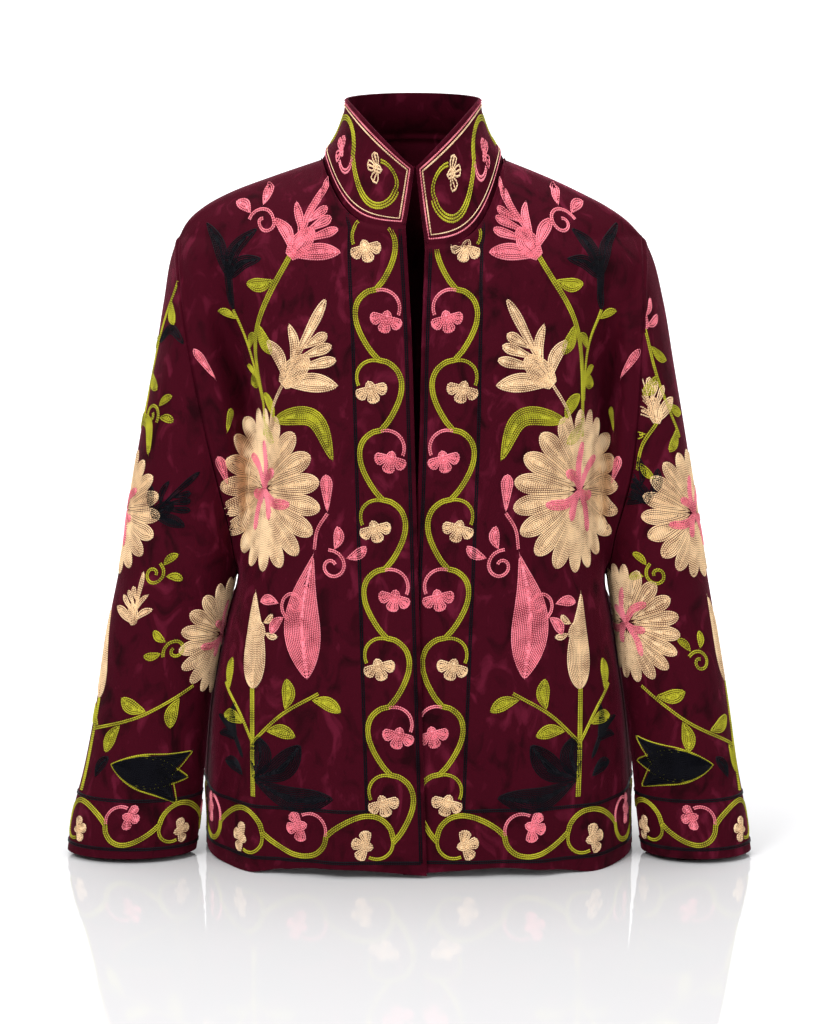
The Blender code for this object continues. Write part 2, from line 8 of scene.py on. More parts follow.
import bmesh
import bpy
import numpy as np
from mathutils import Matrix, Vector


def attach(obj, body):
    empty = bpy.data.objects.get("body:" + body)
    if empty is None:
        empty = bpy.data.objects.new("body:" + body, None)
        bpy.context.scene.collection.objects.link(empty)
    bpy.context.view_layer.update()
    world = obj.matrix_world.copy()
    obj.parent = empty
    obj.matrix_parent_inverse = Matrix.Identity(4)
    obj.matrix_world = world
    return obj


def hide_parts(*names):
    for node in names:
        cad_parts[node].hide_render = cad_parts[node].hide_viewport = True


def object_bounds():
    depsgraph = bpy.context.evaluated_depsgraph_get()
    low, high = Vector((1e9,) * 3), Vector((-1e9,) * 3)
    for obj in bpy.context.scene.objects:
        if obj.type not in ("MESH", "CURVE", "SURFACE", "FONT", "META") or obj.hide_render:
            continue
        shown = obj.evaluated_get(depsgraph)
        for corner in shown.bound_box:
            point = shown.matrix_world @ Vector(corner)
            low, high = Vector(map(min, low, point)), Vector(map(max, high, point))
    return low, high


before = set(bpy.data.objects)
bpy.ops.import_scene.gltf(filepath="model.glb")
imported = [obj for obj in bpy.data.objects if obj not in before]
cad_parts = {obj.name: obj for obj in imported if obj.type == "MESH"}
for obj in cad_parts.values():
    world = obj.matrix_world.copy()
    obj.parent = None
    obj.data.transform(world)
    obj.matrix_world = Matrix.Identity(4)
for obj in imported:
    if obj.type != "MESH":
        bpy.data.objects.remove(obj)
CAD_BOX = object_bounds()

bl_info = {
    "name": "Embroidered velvet jacket",
    "version": (1, 0, 0),
    "blender": (4, 5, 0),
    "location": "View3D > Sidebar > Jacket",
    "description": "Cloth, piping and chain-stitch embroidery of a velvet jacket",
    "category": "Object",
}

# Heights shared with the solids
NECK_RISE = 0.650
UNDERARM_RISE = 0.262
TIP_RISE = 0.578
CUFF_RISE = -0.001
SEAM_FORWARD = 0.006
FLOOR = CAD_BOX[0].z

# Neck opening
NECK_HALF = 0.0835
NECK_FRONT = 0.095
NECK_BACK = 0.078
NECK_BACK_RISE = 0.670
NECK_CURVE = 4.4
NECK_DROP = {-1: 0.061, 1: 0.078}

# Stand band: its upper edge
BAND_HALF = 0.0625
BAND_FRONT = 0.076
BAND_BACK = 0.052
BAND_FRONT_RISE = {-1: 0.642, 1: 0.640}
BAND_SIDE_RISE = 0.704
BAND_BACK_RISE = 0.711
BAND_END = {-1: -0.0010, 1: 0.0025}
BAND_HOLLOW = 0.0045

# The front panels overlap below the chest, the wearer's left one underneath
LAP_TOP = 0.50
LAP_BLEND = 0.10
LAP_DEPTH = 0.0038
LAP_WIDTH = 0.055

# Across a panel: where the section's named points lie, from centre to side
STATIONS = (0.0, 0.28, 0.54, 0.73, 0.87, 1.0)
NECK_END = 0.31

SECTION_COLUMNS = (
    "rise", "centre", "mid_x", "mid", "corner_x", "corner", "fold_x", "fold",
    "lobe_x", "lobe", "seam_x", "seam", "wide_fold", "wide_seam",
)
# Half sections of the fronts. The x columns are distances from the centre line
# on the viewer's left; wide_fold and wide_seam are added on the viewer's right.
FRONT_SECTIONS = (
    (0.000, 0.130, 0.080, 0.126, 0.150, 0.104, 0.182, 0.068, 0.194, 0.035, 0.199, 0.000, 0.014, 0.012),
    (0.070, 0.129, 0.080, 0.125, 0.149, 0.102, 0.180, 0.067, 0.191, 0.035, 0.197, 0.000, 0.012, 0.010),
    (0.150, 0.127, 0.078, 0.122, 0.145, 0.098, 0.176, 0.065, 0.186, 0.033, 0.189, 0.000, 0.010, 0.009),
    (0.215, 0.124, 0.076, 0.119, 0.138, 0.095, 0.165, 0.060, 0.173, 0.029, 0.1765, 0.000, 0.012, 0.012),
    (0.262, 0.122, 0.075, 0.117, 0.131, 0.092, 0.156, 0.054, 0.163, 0.024, 0.166, 0.000, 0.017, 0.017),
    (0.268, 0.122, 0.075, 0.117, 0.130, 0.091, 0.156, 0.050, 0.163, 0.026, 0.167, 0.013, 0.017, 0.018),
    (0.300, 0.121, 0.074, 0.115, 0.127, 0.089, 0.155, 0.036, 0.163, 0.033, 0.172, 0.029, 0.019, 0.019),
    (0.347, 0.119, 0.072, 0.112, 0.125, 0.087, 0.153, 0.027, 0.167, 0.042, 0.182, 0.043, 0.023, 0.020),
    (0.413, 0.116, 0.072, 0.110, 0.126, 0.084, 0.153, 0.026, 0.174, 0.050, 0.196, 0.051, 0.027, 0.013),
    (0.476, 0.110, 0.074, 0.104, 0.135, 0.081, 0.168, 0.038, 0.188, 0.053, 0.208, 0.049, 0.013, 0.004),
    (0.530, 0.103, 0.078, 0.098, 0.141, 0.080, 0.181, 0.055, 0.200, 0.051, 0.216, 0.039, 0.003, -0.002),
    (0.560, 0.099, 0.080, 0.095, 0.145, 0.075, 0.186, 0.055, 0.206, 0.043, 0.2185, 0.025, -0.001, -0.004),
    (0.578, 0.096, 0.080, 0.092, 0.146, 0.070, 0.187, 0.049, 0.208, 0.031, 0.219, 0.006, -0.002, -0.0045),
)
# Half sections of the back, with the same seam as the fronts
BACK_SECTIONS = (
    (0.000, 0.128, 0.080, 0.124, 0.150, 0.104, 0.183, 0.072, 0.199, 0.034, 0.199, 0.000, 0.012, 0.012),
    (0.070, 0.126, 0.080, 0.122, 0.148, 0.102, 0.185, 0.071, 0.203, 0.034, 0.197, 0.000, 0.010, 0.010),
    (0.150, 0.122, 0.078, 0.118, 0.144, 0.098, 0.182, 0.068, 0.198, 0.033, 0.189, 0.000, 0.009, 0.009),
    (0.215, 0.119, 0.076, 0.115, 0.138, 0.094, 0.172, 0.064, 0.183, 0.032, 0.1765, 0.000, 0.012, 0.012),
    (0.262, 0.118, 0.075, 0.114, 0.131, 0.091, 0.156, 0.056, 0.164, 0.025, 0.166, 0.000, 0.017, 0.017),
    (0.268, 0.118, 0.075, 0.114, 0.131, 0.091, 0.156, 0.053, 0.164, 0.027, 0.167, 0.012, 0.017, 0.018),
    (0.300, 0.118, 0.075, 0.114, 0.130, 0.090, 0.155, 0.044, 0.163, 0.035, 0.172, 0.029, 0.019, 0.019),
    (0.347, 0.119, 0.075, 0.115, 0.132, 0.090, 0.155, 0.039, 0.167, 0.044, 0.182, 0.043, 0.021, 0.020),
    (0.413, 0.119, 0.077, 0.115, 0.137, 0.089, 0.160, 0.045, 0.176, 0.052, 0.196, 0.051, 0.019, 0.013),
    (0.476, 0.116, 0.078, 0.112, 0.141, 0.087, 0.172, 0.056, 0.190, 0.056, 0.208, 0.050, 0.009, 0.004),
    (0.530, 0.110, 0.080, 0.105, 0.144, 0.083, 0.181, 0.061, 0.200, 0.053, 0.216, 0.039, 0.003, -0.002),
    (0.560, 0.104, 0.080, 0.098, 0.146, 0.076, 0.186, 0.055, 0.206, 0.041, 0.2185, 0.023, -0.001, -0.004),
    (0.578, 0.098, 0.080, 0.092, 0.146, 0.068, 0.187, 0.045, 0.208, 0.026, 0.219, -0.006, -0.002, -0.0045),
)

# Open front edges: distance of each edge from the centre line to its own side
EDGE_COLUMNS = ("rise", "right_front", "left_front")
FRONT_EDGES = (
    (0.000, -0.0125, -0.0090),
    (0.150, -0.0080, -0.0035),
    (0.290, -0.0040, 0.0020),
    (0.400, -0.0010, 0.0060),
    (0.500, 0.0020, 0.0080),
    (0.588, 0.0070, 0.0110),
)

# Shoulder seam from the collar to the armhole
RIDGE_COLUMNS = ("across", "rise", "x_left", "x_right")
RIDGE = (
    (0.31, 0.650, 0.0835, 0.0835),
    (0.46, 0.635, 0.1280, 0.1210),
    (0.66, 0.618, 0.1730, 0.1580),
    (0.79, 0.606, 0.1950, 0.1810),
    (0.91, 0.592, 0.2110, 0.2010),
    (1.00, 0.578, 0.2190, 0.2145),
)

# How far the hem drops or lifts across a front
HEM_COLUMNS = ("across", "front_lift")
FRONT_HEM = (
    (0.00, -0.003),
    (0.26, 0.003),
    (0.42, 0.000),
    (0.58, -0.006),
    (0.78, -0.004),
    (1.00, -0.003),
)

BACK_HEM_LIFT = -0.003

# Sleeve rings: outer and inner side, forward reach of the centre, half depth
SLEEVE_COLUMNS = ("rise", "outer_l", "inner_l", "outer_r", "inner_r", "forward", "half_depth")
SLEEVE_SECTIONS = (
    (-0.001, 0.3285, 0.2060, 0.3215, 0.2170, 0.035, 0.043),
    (0.030, 0.3240, 0.2020, 0.3170, 0.2130, 0.034, 0.044),
    (0.076, 0.3125, 0.1980, 0.3085, 0.2085, 0.030, 0.045),
    (0.135, 0.3010, 0.1925, 0.2995, 0.2015, 0.023, 0.046),
    (0.212, 0.2890, 0.1790, 0.2870, 0.1910, 0.014, 0.048),
    (0.262, 0.2790, 0.1665, 0.2785, 0.1835, 0.008, 0.049),
    (0.347, 0.2650, 0.1600, 0.2645, 0.1790, 0.004, 0.050),
    (0.404, 0.2550, 0.1600, 0.2550, 0.1790, 0.002, 0.051),
    (0.461, 0.2435, 0.1650, 0.2450, 0.1800, 0.001, 0.051),
    (0.518, 0.2335, 0.1750, 0.2345, 0.1850, 0.000, 0.050),
    (0.560, 0.2255, 0.1850, 0.2230, 0.1880, 0.000, 0.046),
    (0.578, 0.2190, 0.1900, 0.2145, 0.1900, 0.000, 0.040),
)
SEAM_EASE = 0.30

# Under the arm the sleeve and the body face each other and stand a little apart
CROTCH_GAP = 0.0006
CROTCH_HEIGHT = 0.040

# Largest folds on the front of the body, as troughs (negative) and ridges
FOLD_COLUMNS = ("x_top", "rise_top", "x_end", "rise_end", "width", "depth")
FRONT_FOLDS = (
    (0.098, 0.640, 0.116, 0.575, 0.010, -0.0030),
    (0.213, 0.560, 0.185, 0.490, 0.012, -0.0045),
    (0.196, 0.545, 0.170, 0.470, 0.012, 0.0025),
    (-0.160, 0.190, -0.176, 0.000, 0.011, -0.0045),
    (-0.140, 0.170, -0.150, 0.000, 0.010, 0.0030),
    (-0.118, 0.120, -0.124, 0.000, 0.011, -0.0025),
    (0.182, 0.230, 0.196, 0.000, 0.011, -0.0040),
    (0.160, 0.180, 0.172, 0.000, 0.010, 0.0030),
    (0.136, 0.110, 0.143, 0.000, 0.011, -0.0020),
    (-0.178, 0.560, -0.150, 0.480, 0.014, -0.0025),
)
BACK_FOLDS = (
    (-0.095, 0.330, -0.120, 0.000, 0.018, -0.0040),
    (-0.060, 0.240, -0.075, 0.000, 0.016, 0.0030),
    (0.100, 0.350, 0.128, 0.000, 0.018, -0.0040),
    (0.058, 0.220, 0.070, 0.000, 0.016, 0.0030),
    (0.170, 0.200, 0.182, 0.000, 0.012, -0.0035),
    (-0.165, 0.210, -0.178, 0.000, 0.012, -0.0035),
    (-0.185, 0.560, -0.150, 0.450, 0.016, -0.0030),
    (0.180, 0.555, 0.148, 0.450, 0.016, -0.0030),
)
# Folds on the sleeves run round the arm: angle 0 is outside, 90 is the front
SLEEVE_FOLD_COLUMNS = ("angle_a", "rise_a", "angle_b", "rise_b", "width", "depth")
SLEEVE_FOLDS = (
    (60.0, 0.440, 130.0, 0.400, 0.012, -0.0025),
    (40.0, 0.330, 120.0, 0.290, 0.014, -0.0025),
    (50.0, 0.300, 140.0, 0.245, 0.012, 0.0020),
    (30.0, 0.215, 110.0, 0.190, 0.013, -0.0020),
    (240.0, 0.400, 310.0, 0.430, 0.014, -0.0025),
    (235.0, 0.270, 320.0, 0.310, 0.014, -0.0025),
)



# How deep the creases of the body are cut, as a share of their tables
CREASE_DEPTH = 1.8
# Soft creases of the cloth beside the largest folds, on the fronts
FRONT_CREASES = (
    (-0.040, 0.560, -0.052, 0.440, 0.016, 0.0012),
    (-0.085, 0.590, -0.070, 0.480, 0.013, -0.0014),
    (-0.120, 0.600, -0.150, 0.520, 0.010, 0.0014),
    (-0.030, 0.330, -0.045, 0.180, 0.018, -0.0012),
    (-0.085, 0.400, -0.072, 0.300, 0.015, 0.0013),
    (-0.125, 0.330, -0.112, 0.210, 0.011, -0.0014),
    (-0.060, 0.160, -0.068, 0.000, 0.016, 0.0016),
    (-0.092, 0.110, -0.098, 0.000, 0.012, -0.0014),
    (-0.150, 0.300, -0.158, 0.200, 0.008, 0.0013),
    (-0.165, 0.450, -0.150, 0.380, 0.008, 0.0012),
    (0.045, 0.580, 0.060, 0.470, 0.014, -0.0013),
    (0.090, 0.540, 0.082, 0.430, 0.017, 0.0012),
    (0.125, 0.600, 0.160, 0.530, 0.010, 0.0015),
    (0.030, 0.300, 0.046, 0.130, 0.018, 0.0012),
    (0.110, 0.380, 0.098, 0.260, 0.014, -0.0013),
    (0.140, 0.300, 0.148, 0.190, 0.009, 0.0015),
    (0.070, 0.140, 0.078, 0.000, 0.015, -0.0015),
    (0.110, 0.130, 0.116, 0.000, 0.012, 0.0017),
    (0.175, 0.460, 0.168, 0.380, 0.008, -0.0012),
    (0.192, 0.550, 0.150, 0.500, 0.007, -0.0018),
)
BACK_CREASES = (
    (-0.030, 0.600, -0.045, 0.450, 0.018, 0.0014),
    (0.045, 0.590, 0.030, 0.470, 0.015, -0.0014),
    (-0.090, 0.570, -0.140, 0.490, 0.012, 0.0016),
    (0.085, 0.580, 0.145, 0.500, 0.012, 0.0017),
    (-0.010, 0.350, -0.022, 0.150, 0.020, -0.0014),
    (0.030, 0.300, 0.022, 0.120, 0.014, 0.0013),
    (-0.130, 0.420, -0.110, 0.320, 0.011, 0.0014),
    (0.135, 0.410, 0.118, 0.300, 0.012, -0.0015),
    (-0.145, 0.170, -0.150, 0.000, 0.012, 0.0020),
    (0.145, 0.150, 0.152, 0.000, 0.013, 0.0020),
    (-0.095, 0.150, -0.098, 0.000, 0.014, -0.0014),
    (0.085, 0.120, 0.088, 0.000, 0.012, -0.0013),
    (-0.160, 0.330, -0.150, 0.240, 0.009, -0.0013),
    (0.162, 0.350, 0.150, 0.250, 0.008, 0.0013),
)
SLEEVE_CREASES = (
    (70.0, 0.480, 120.0, 0.500, 0.010, 0.0014),
    (30.0, 0.400, 90.0, 0.380, 0.009, 0.0012),
    (80.0, 0.355, 150.0, 0.330, 0.008, -0.0013),
    (20.0, 0.270, 75.0, 0.255, 0.009, -0.0012),
    (75.0, 0.215, 150.0, 0.175, 0.010, 0.0013),
    (40.0, 0.150, 115.0, 0.125, 0.009, 0.0012),
    (95.0, 0.110, 155.0, 0.090, 0.008, -0.0012),
    (35.0, 0.070, 90.0, 0.060, 0.010, -0.0010),
    (210.0, 0.450, 280.0, 0.470, 0.010, 0.0014),
    (220.0, 0.350, 290.0, 0.370, 0.009, 0.0014),
    (260.0, 0.300, 330.0, 0.320, 0.010, -0.0013),
    (205.0, 0.210, 285.0, 0.235, 0.011, -0.0015),
    (230.0, 0.150, 300.0, 0.165, 0.009, 0.0013),
    (215.0, 0.080, 270.0, 0.095, 0.010, -0.0011),
)

def column(table, names, name):
    """One named column of a table as an array."""
    place = names.index(name)
    return np.array([row[place] for row in table])


def curve_at(xs, ys, x, level=True):
    """A smooth curve through table values; ys may hold one column of values for each x."""
    xs = np.asarray(xs, float)
    ys = np.asarray(ys, float)
    x = np.clip(np.asarray(x, float), xs[0], xs[-1])
    if ys.ndim == 1:
        ys = ys[:, None]
    step = np.diff(xs)[:, None]
    rate = np.diff(ys, axis=0) / step
    slope = np.empty(ys.shape)
    slope[0] = rate[0]
    slope[-1] = rate[-1]
    slope[1:-1] = (rate[:-1] * step[1:] + rate[1:] * step[:-1]) / (step[1:] + step[:-1])
    if level:
        limit = 3 * np.minimum(abs(rate[:-1]), abs(rate[1:]))
        held = np.clip(slope[1:-1], -limit, limit)
        slope[1:-1] = np.where(rate[:-1] * rate[1:] <= 0, 0, held)
    flat = x.reshape(-1)
    place = np.clip(np.searchsorted(xs, flat, side="right") - 1, 0, len(step) - 1)
    wide = step[place, 0]
    part = (flat - xs[place]) / wide
    square = part * part
    cube = square * part
    pick = np.arange(flat.size) if ys.shape[1] > 1 else 0
    value = (
        (2 * cube - 3 * square + 1) * ys[place, pick]
        + (cube - 2 * square + part) * wide * slope[place, pick]
        + (3 * square - 2 * cube) * ys[place + 1, pick]
        + (cube - square) * wide * slope[place + 1, pick]
    )
    return value.reshape(x.shape)


def ease(value):
    """A soft step from 0 to 1."""
    value = np.clip(value, 0, 1)
    return value * value * (3 - 2 * value)


def from_table(table, names, name, rise):
    """A table value at a height above the hem."""
    return curve_at(column(table, names, "rise"), column(table, names, name), rise)


def edge_distance(side, rise):
    """Distance from the centre line to a front's open edge."""
    name = "right_front" if side < 0 else "left_front"
    return from_table(FRONT_EDGES, EDGE_COLUMNS, name, rise)


def section_point(face, side, across, rise):
    """Distance from the centre line and forward reach on a half section."""
    table = FRONT_SECTIONS if face == "front" else BACK_SECTIONS
    values = {name: from_table(table, SECTION_COLUMNS, name, rise) for name in SECTION_COLUMNS[1:]}
    wide_fold = values["wide_fold"] if side > 0 else 0.0 * rise
    wide_seam = values["wide_seam"] if side > 0 else 0.0 * rise
    start = edge_distance(side, rise) if face == "front" else 0.0 * rise
    outs = np.array((
        start,
        values["mid_x"] + 0.2 * wide_fold,
        values["corner_x"] + 0.8 * wide_fold,
        values["fold_x"] + wide_fold,
        values["lobe_x"] + 0.5 * (wide_fold + wide_seam),
        values["seam_x"] + wide_seam,
    )).reshape(6, -1)
    reach = np.array([values[name] for name in ("centre", "mid", "corner", "fold", "lobe", "seam")])
    out = curve_at(STATIONS, outs, across)
    forward = curve_at(STATIONS, reach.reshape(6, -1), across, level=False)
    return out, forward


def panel_top(face, side, across):
    """Top of a panel's column: distance out, forward reach and rise."""
    start = 0.0
    if face == "front":
        start = float(np.arcsin(edge_distance(side, np.array(0.588)) / NECK_HALF))
    angle = start + (math.pi / 2 - start) * np.minimum(across / NECK_END, 1.0)
    level = np.sin(angle) ** NECK_CURVE
    cosine = np.maximum(np.cos(angle), 0.0)
    if face == "front":
        neck_forward = SEAM_FORWARD + (NECK_FRONT - SEAM_FORWARD) * cosine
        neck_rise = NECK_RISE - NECK_DROP[side] * (1 - level)
    else:
        neck_forward = -SEAM_FORWARD + (NECK_BACK + SEAM_FORWARD) * cosine
        neck_rise = NECK_RISE + (NECK_BACK_RISE - NECK_RISE) * cosine ** 0.7
    spots = column(RIDGE, RIDGE_COLUMNS, "across")
    name = "x_left" if side < 0 else "x_right"
    ridge_out = curve_at(spots, column(RIDGE, RIDGE_COLUMNS, name), across)
    ridge_rise = curve_at(spots, column(RIDGE, RIDGE_COLUMNS, "rise"), across)
    ridge_forward = SEAM_FORWARD if face == "front" else -SEAM_FORWARD
    neck = across <= NECK_END
    out = np.where(neck, NECK_HALF * np.sin(angle), ridge_out)
    forward = np.where(neck, neck_forward, ridge_forward)
    return out, forward, np.where(neck, neck_rise, ridge_rise)


def fold_depth(folds, x, rise):
    """Sum of the soft troughs and ridges at places on a panel."""
    total = np.zeros(np.shape(x))
    for row in folds:
        fold = dict(zip(FOLD_COLUMNS, row))
        way = np.array((fold["x_end"] - fold["x_top"], fold["rise_end"] - fold["rise_top"]))
        part = ((x - fold["x_top"]) * way[0] + (rise - fold["rise_top"]) * way[1]) / np.dot(way, way)
        held = np.clip(part, 0, 1)
        away_x = x - fold["x_top"] - way[0] * held
        away_rise = rise - fold["rise_top"] - way[1] * held
        away = (away_x ** 2 + away_rise ** 2) / fold["width"] ** 2
        open_end = fold["rise_end"] <= 0
        fade = ease(part / (0.8 if open_end else 0.45))
        if not open_end:
            fade = fade * ease((1 - part) / 0.45)
        total += fold["depth"] * np.exp(-away) * fade
    return total


def hem_lift(face, across):
    """How far a panel's hem lies above the hem level."""
    if face == "back":
        return np.full(np.shape(across), BACK_HEM_LIFT)
    return curve_at(column(FRONT_HEM, HEM_COLUMNS, "across"), column(FRONT_HEM, HEM_COLUMNS, "front_lift"), across)


def panel_points(face, side, across, up, fine=True):
    """Points of a front or back panel; up runs from 0 at the hem to 1 at the top."""
    across = np.asarray(across, float)
    top_out, top_forward, top_rise = panel_top(face, side, across)
    hem = hem_lift(face, across)
    rise = hem + np.asarray(up, float) * (top_rise - hem)
    out, forward = section_point(face, side, across, rise)
    end_out = section_point(face, side, across, top_rise)[0]
    below = top_rise - rise
    out = out + (top_out - end_out) * ease(1 - below / 0.12)
    beyond = np.clip((across - NECK_END) / (1 - NECK_END), 0, 1)
    height = 0.110 * (1 - beyond) ** 0.8 + 0.002
    depth = np.clip(below / height, 0, 1)
    power = 0.5 + 0.4 * (1 - np.minimum(across / NECK_END, 1.0))
    forward = top_forward + (forward - top_forward) * (1 - (1 - depth) ** 2) ** power
    x = side * out
    inside = ease(below / 0.03) * ease((1 - across) / 0.06)
    folds = FRONT_FOLDS if face == "front" else BACK_FOLDS
    forward = forward + inside * fold_depth(folds, x, rise)
    if fine:
        creases = FRONT_CREASES if face == "front" else BACK_CREASES
        forward = forward + inside * CREASE_DEPTH * fold_depth(creases, x, rise)
    if face == "front" and side > 0:
        near = np.exp(-((out - edge_distance(side, rise)) / LAP_WIDTH) ** 2)
        forward = forward - LAP_DEPTH * ease((LAP_TOP - rise) / LAP_BLEND) * near
    y = -forward if face == "front" else forward
    return np.stack((x, y, rise - NECK_RISE), axis=-1)


def yoke_up(part):
    """How far up a panel a point of the armhole lies: 0 under the arm, 1 at the tip."""
    start = UNDERARM_RISE / TIP_RISE
    round_part = 0.5 * (1 - np.cos(math.pi * part))
    return start + (1 - start) * (0.6 * round_part + 0.4 * part)


def sleeve_ring(side, angle, rise):
    """Points of the sleeve's plain tube."""
    end = "l" if side < 0 else "r"
    outer = from_table(SLEEVE_SECTIONS, SLEEVE_COLUMNS, "outer_" + end, rise)
    inner = from_table(SLEEVE_SECTIONS, SLEEVE_COLUMNS, "inner_" + end, rise)
    forward = from_table(SLEEVE_SECTIONS, SLEEVE_COLUMNS, "forward", rise)
    half_depth = from_table(SLEEVE_SECTIONS, SLEEVE_COLUMNS, "half_depth", rise)
    out = (outer + inner) / 2 + (outer - inner) / 2 * np.cos(angle)
    y = -(forward + half_depth * np.sin(angle))
    return np.stack((side * out, y, rise - NECK_RISE), axis=-1)


def sleeve_points(side, around, down, fine=True):
    """Points of a sleeve; around runs from 0 at the top line past the front."""
    around = np.asarray(around, float) % 1.0
    part = np.abs(1 - 2 * around)
    one = np.ones(around.shape)
    front = panel_points("front", side, one, yoke_up(part), fine)
    rear = panel_points("back", side, one, yoke_up(part), fine)
    start = np.where((around <= 0.5)[..., None], front, rear)
    angle = 2 * math.pi * around
    top = start[..., 2] + NECK_RISE
    low = np.maximum(0.0, 1 - (top - UNDERARM_RISE) / CROTCH_HEIGHT)
    start[..., 0] += side * CROTCH_GAP * low
    offset = start - sleeve_ring(side, angle, top)
    rise = top + (CUFF_RISE - top) * down
    spot = sleeve_ring(side, angle, rise) + offset * (1 - ease(down / SEAM_EASE))[..., None]
    depth = np.zeros(around.shape)
    rows = SLEEVE_FOLDS + (SLEEVE_CREASES if fine else ())
    degrees = np.degrees(angle)
    for row in rows:
        fold = dict(zip(SLEEVE_FOLD_COLUMNS, row))
        along = (degrees - fold["angle_a"]) / (fold["angle_b"] - fold["angle_a"])
        inside = (along >= 0) & (along <= 1)
        level = fold["rise_a"] + (fold["rise_b"] - fold["rise_a"]) * along
        away = (rise - level) / fold["width"]
        bump = np.exp(-away * away) * np.sin(math.pi * np.clip(along, 0, 1)) * inside
        depth += fold["depth"] * bump * ease(down / 0.15)
    middle = (sleeve_ring(side, 0 * angle, rise) + sleeve_ring(side, 0 * angle + math.pi, rise)) / 2
    away = spot - middle
    away[..., 2] = 0
    away /= np.maximum(np.linalg.norm(away, axis=-1, keepdims=True), 1e-9)
    return spot + away * depth[..., None]


def neck_angle(face, side, across):
    """Angle round the neck: 0 at the centre, a quarter turn at the side."""
    start = 0.0
    if face == "front":
        start = float(np.arcsin(edge_distance(side, np.array(0.588)) / NECK_HALF))
    return start + (math.pi / 2 - start) * across / NECK_END


def band_points(round_neck, up, outward=0.0):
    """Points of the stand band; round_neck runs 0 to 4 by quarters from the wearer's right end."""
    round_neck = np.asarray(round_neck, float)
    result = np.zeros(round_neck.shape + (3,))
    for quarter, (side, face) in enumerate(((-1, "front"), (-1, "back"), (1, "back"), (1, "front"))):
        here = (round_neck >= quarter) & (round_neck <= quarter + 1)
        if not here.any():
            continue
        part = round_neck[here] - quarter
        across = NECK_END * (part if quarter in (0, 2) else 1 - part)
        low = panel_points(face, side, across, np.ones(across.shape), False)
        angle = neck_angle(face, side, across)
        if face == "front":
            first = neck_angle(face, side, 0.0)
            begin = math.asin(BAND_END[side] / BAND_HALF)
            turn = begin + (math.pi / 2 - begin) * (angle - first) / (math.pi / 2 - first)
            forward = SEAM_FORWARD + (BAND_FRONT - SEAM_FORWARD) * np.cos(turn)
            front_rise = BAND_FRONT_RISE[side]
            rise = front_rise + (BAND_SIDE_RISE - front_rise) * np.abs(np.sin(turn)) ** 1.1
            high = np.stack((side * BAND_HALF * np.sin(turn), -forward, rise - NECK_RISE), axis=-1)
        else:
            forward = -SEAM_FORWARD + (BAND_BACK + SEAM_FORWARD) * np.cos(angle)
            rise = BAND_SIDE_RISE + (BAND_BACK_RISE - BAND_SIDE_RISE) * np.cos(angle)
            high = np.stack((side * BAND_HALF * np.sin(angle), forward, rise - NECK_RISE), axis=-1)
        away = low * np.array((1.0, 1.0, 0.0))
        away /= np.linalg.norm(away, axis=-1, keepdims=True)
        level = up[here][:, None]
        hollow = away * (outward - BAND_HOLLOW * np.sin(math.pi * level))
        result[here] = low + (high - low) * level + hollow
    return result


# Cloth pieces: how many columns and rows each sheet has
PIECE_COLUMNS = ("name", "columns", "rows", "flip")
PIECE_ROWS = (
    ("front_right", 110, 160, -1),
    ("front_left", 110, 160, 1),
    ("back", 190, 150, -1),
    ("sleeve_right", 120, 150, -1),
    ("sleeve_left", 120, 150, 1),
    ("collar", 170, 18, -1),
)
EDGE_CROWD = 0.65
GROOVE_DEPTH = 0.0012
GROOVE_WIDTH = 0.0022
SEAM_RIDGE = 0.0007
SEAM_RIDGE_PLACE = 0.0055
SEAM_RIDGE_WIDTH = 0.0030
PANEL_WIDTH = 0.25
NORMAL_STEP = 0.001
BAND_WIDTH = 0.057


def crowd(count, closed=False):
    """Even steps from 0 to 1 that crowd towards both ends."""
    part = np.linspace(0, 1, count)
    if closed:
        return np.linspace(0, 1, count, endpoint=False)
    return part - EDGE_CROWD * np.sin(2 * math.pi * part) / (2 * math.pi)


def seam_form(distance):
    """Groove and soft ridge beside a seam, by the distance from it."""
    groove = -GROOVE_DEPTH * np.exp(-(distance / GROOVE_WIDTH) ** 2)
    ridge = SEAM_RIDGE * np.exp(-((distance - SEAM_RIDGE_PLACE) / SEAM_RIDGE_WIDTH) ** 2)
    return groove + ridge


def surface_normals(spot, a, b, flip):
    """Outward directions of a surface function at two parameters."""
    along = spot(a + NORMAL_STEP, b) - spot(a - NORMAL_STEP, b)
    up = spot(a, b + NORMAL_STEP) - spot(a, b - NORMAL_STEP)
    normal = np.cross(along, up)
    normal /= np.maximum(np.linalg.norm(normal, axis=-1, keepdims=True), 1e-12)
    return normal * flip


def half_spot(face, side):
    """Surface function of one half panel, held inside its edges."""
    def spot(across, up):
        return panel_points(face, side, np.clip(across, 0, 1), np.clip(up, 0, 1))
    return spot


def back_spot(along, up):
    """Surface of the whole back; along runs 0 to 1 from the wearer's right seam."""
    shift = 2 * along - 1
    right = panel_points("back", -1, np.clip(-shift, 0, 1), np.clip(up, 0, 1))
    left = panel_points("back", 1, np.clip(shift, 0, 1), np.clip(up, 0, 1))
    return np.where((shift < 0)[..., None], right, left)


def sleeve_spot(side):
    """Surface function of a sleeve, round the arm and down it."""
    def spot(around, down):
        return sleeve_points(side, around, np.clip(down, 0, 1))
    return spot


def band_spot(along, up):
    """Surface of the stand collar from its right end to its left end."""
    return band_points(4 * np.clip(along, 0, 1), np.clip(up, 0, 1))


SURFACES = {
    "front_right": half_spot("front", -1),
    "front_left": half_spot("front", 1),
    "back": back_spot,
    "sleeve_right": sleeve_spot(-1),
    "sleeve_left": sleeve_spot(1),
    "collar": band_spot,
}


